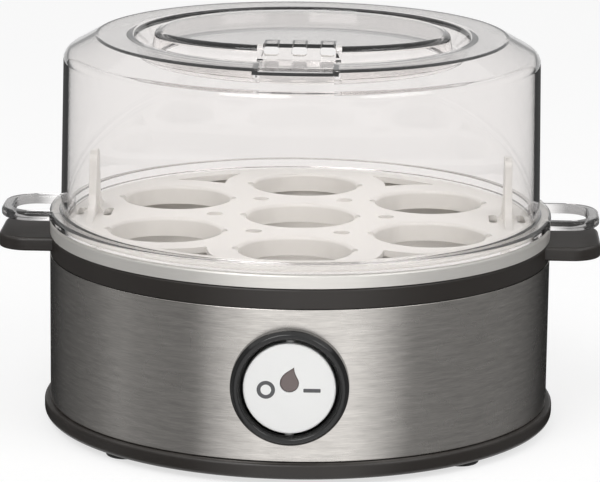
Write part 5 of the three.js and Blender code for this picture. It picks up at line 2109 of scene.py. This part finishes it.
    def cards(self) -> None:
        """Sets toned cards round the body and behind it, which only reflections see."""
        spots: list[Spot] = []
        shares: list[float] = []
        count, radius, reach = self.card_count, self.card_radius, self.card_reach
        for k in range(count + 1):
            turn = 2 * math.pi * (k / count - 0.5)
            ray = 2 * turn if abs(turn) < math.pi / 2 else turn
            low = self.card_foot - self.card_fall * abs(turn) / math.pi
            for distance, height in ((0.0, low), (reach, low), (reach, self.wall_height)):
                spots.append((radius * math.sin(turn) + distance * math.sin(ray),
                              -radius * math.cos(turn) - distance * math.cos(ray), height))
                shares.append(k / count)
        faces = [(3 * k, 3 * k + 1, 3 * k + 4, 3 * k + 3) for k in range(count)]
        faces += [(3 * k + 1, 3 * k + 2, 3 * k + 5, 3 * k + 4) for k in range(count)
                  if self.wall_first <= abs(360 * (k + 0.5) / count - 180) <= self.wall_last]
        self.card("side_card", spots, faces, shares, self.SIDE_TONES, self.SIDE_MIRRORED)
        wide, far, low, top = self.back_width, self.back_place, self.back_foot, self.back_top
        back = [(-wide, far, low), (wide, far, low), (wide, far, top), (-wide, far, top)]
        sides = [0.0, 1.0, 1.0, 0.0]
        self.card("back_card", back, [(0, 1, 2, 3)], sides, self.BACK_TONES, self.BACK_MIRRORED)

    def card(self, name: str, spots: Sequence[Spot], faces: Sequence[Sequence[int]], shares: Sequence[float],
             tones: Sequence[Point], mirrored: Sequence[Point]) -> None:
        """Makes one card whose tone follows a share given at each point.

        Args:
            name: The card's name.
            spots: Its points, in metres.
            faces: Its faces.
            shares: Where each point lies on the scale of tones.
            tones: The scale that soft reflections see, as pairs of share and tone.
            mirrored: The scale that the clear lid's sharp reflections see.
        """
        mesh = bpy.data.meshes.new(name)
        mesh.from_pydata(spots, [], faces)
        layer = mesh.attributes.new("share", "FLOAT", "POINT")
        layer.data.foreach_set("value", list(shares))
        plan, material = Plan.material(name)
        share = plan.node("ShaderNodeAttribute", {"attribute_name": "share"}).outputs["Fac"]
        sharp = plan.node("ShaderNodeLightPath").outputs["Is Singular Ray"]
        seen = plan.blend(sharp, self.scale(plan, share, tones), self.scale(plan, share, mirrored))
        paper = plan.node("ShaderNodeEmission", None, Color=seen, Strength=self.card_glow)
        plan.node("ShaderNodeOutputMaterial", None, Surface=paper)
        mesh.materials.append(material)
        card = placed(name, mesh)
        for ray in ("camera", "diffuse", "transmission", "shadow", "volume_scatter"):
            setattr(card, f"visible_{ray}", False)

    @staticmethod
    def scale(plan: Plan, share: bpy.types.NodeSocket, tones: Sequence[Point]) -> bpy.types.NodeSocket:
        """A scale of greys.

        Args:
            plan: The card's plan.
            share: Where on the scale it is read.
            tones: Pairs of share and tone, in order.

        Returns:
            The grey at that share.
        """
        node = plan.node("ShaderNodeValToRGB", None, Fac=share)
        ramp = node.color_ramp
        for place, tone in tones[1:-1]:
            ramp.elements.new(place).color = (tone, tone, tone, 1.0)
        for element, (place, tone) in ((ramp.elements[0], tones[0]), (ramp.elements[-1], tones[-1])):
            element.position, element.color = place, (tone, tone, tone, 1.0)
        return node.outputs[0]

    def lamp(self, name: str, place: Spot, size: float, power: float) -> None:
        """Hangs one soft round lamp that looks at the object.

        Args:
            name: The lamp's name.
            place: Where it hangs, in metres.
            size: How wide it is, in metres.
            power: Its power in watts.
        """
        data = bpy.data.lights.new(name, "AREA")
        data.shape = "DISK"
        data.size = size
        data.energy = power
        lamp = placed(name, data)
        lamp.location = place
        lamp.rotation_mode = "QUATERNION"
        lamp.rotation_quaternion = (Vector(self.lamp_aim) - Vector(place)).to_track_quat("-Z", "Y")

    def world(self) -> None:
        """Lights the room evenly, and shows white behind the object."""
        world = bpy.data.worlds.new("studio")
        world.use_nodes = True
        plan = Plan(world.node_tree)
        path = plan.node("ShaderNodeLightPath").outputs
        strength = plan.remap(self.seen_ray(plan, path), 0.0, 1.0, self.world_strength, 1.0)
        strength = plan.remap(self.inner_ray(plan, path), 0.0, 1.0, strength, self.inner_room)
        sky = plan.node("ShaderNodeBackground", None, Color=self.WHITE, Strength=strength)
        plan.node("ShaderNodeOutputWorld", None, Surface=sky)
        bpy.context.scene.world = world

    def build(self) -> None:
        """Sets up the whole studio."""
        self.camera()
        self.floor()
        self.cards()
        self.lamp("key_lamp", self.key_place, self.key_size, self.key_power)
        self.lamp("fill_lamp", self.fill_place, self.fill_size, self.fill_power)
        self.world()
        bpy.context.scene.view_settings.view_transform = "Standard"
        LOG.info("studio ready")


def main() -> None:
    """Builds the studio and the object's pieces in order."""
    logging.basicConfig(level=logging.INFO, format="%(name)s: %(message)s")
    Studio().build()
    shop = Workshop()
    shop.paint.dress_frame()
    pan = BasePan(shop)
    pan.build()
    SteelSleeve(shop).build()
    UpperRing(shop, pan).build()
    for assembly in (HeatingDish, Button, CordGland, EggTray, ClearLid):
        assembly(shop).build()


if __name__ == "__main__":
    main()
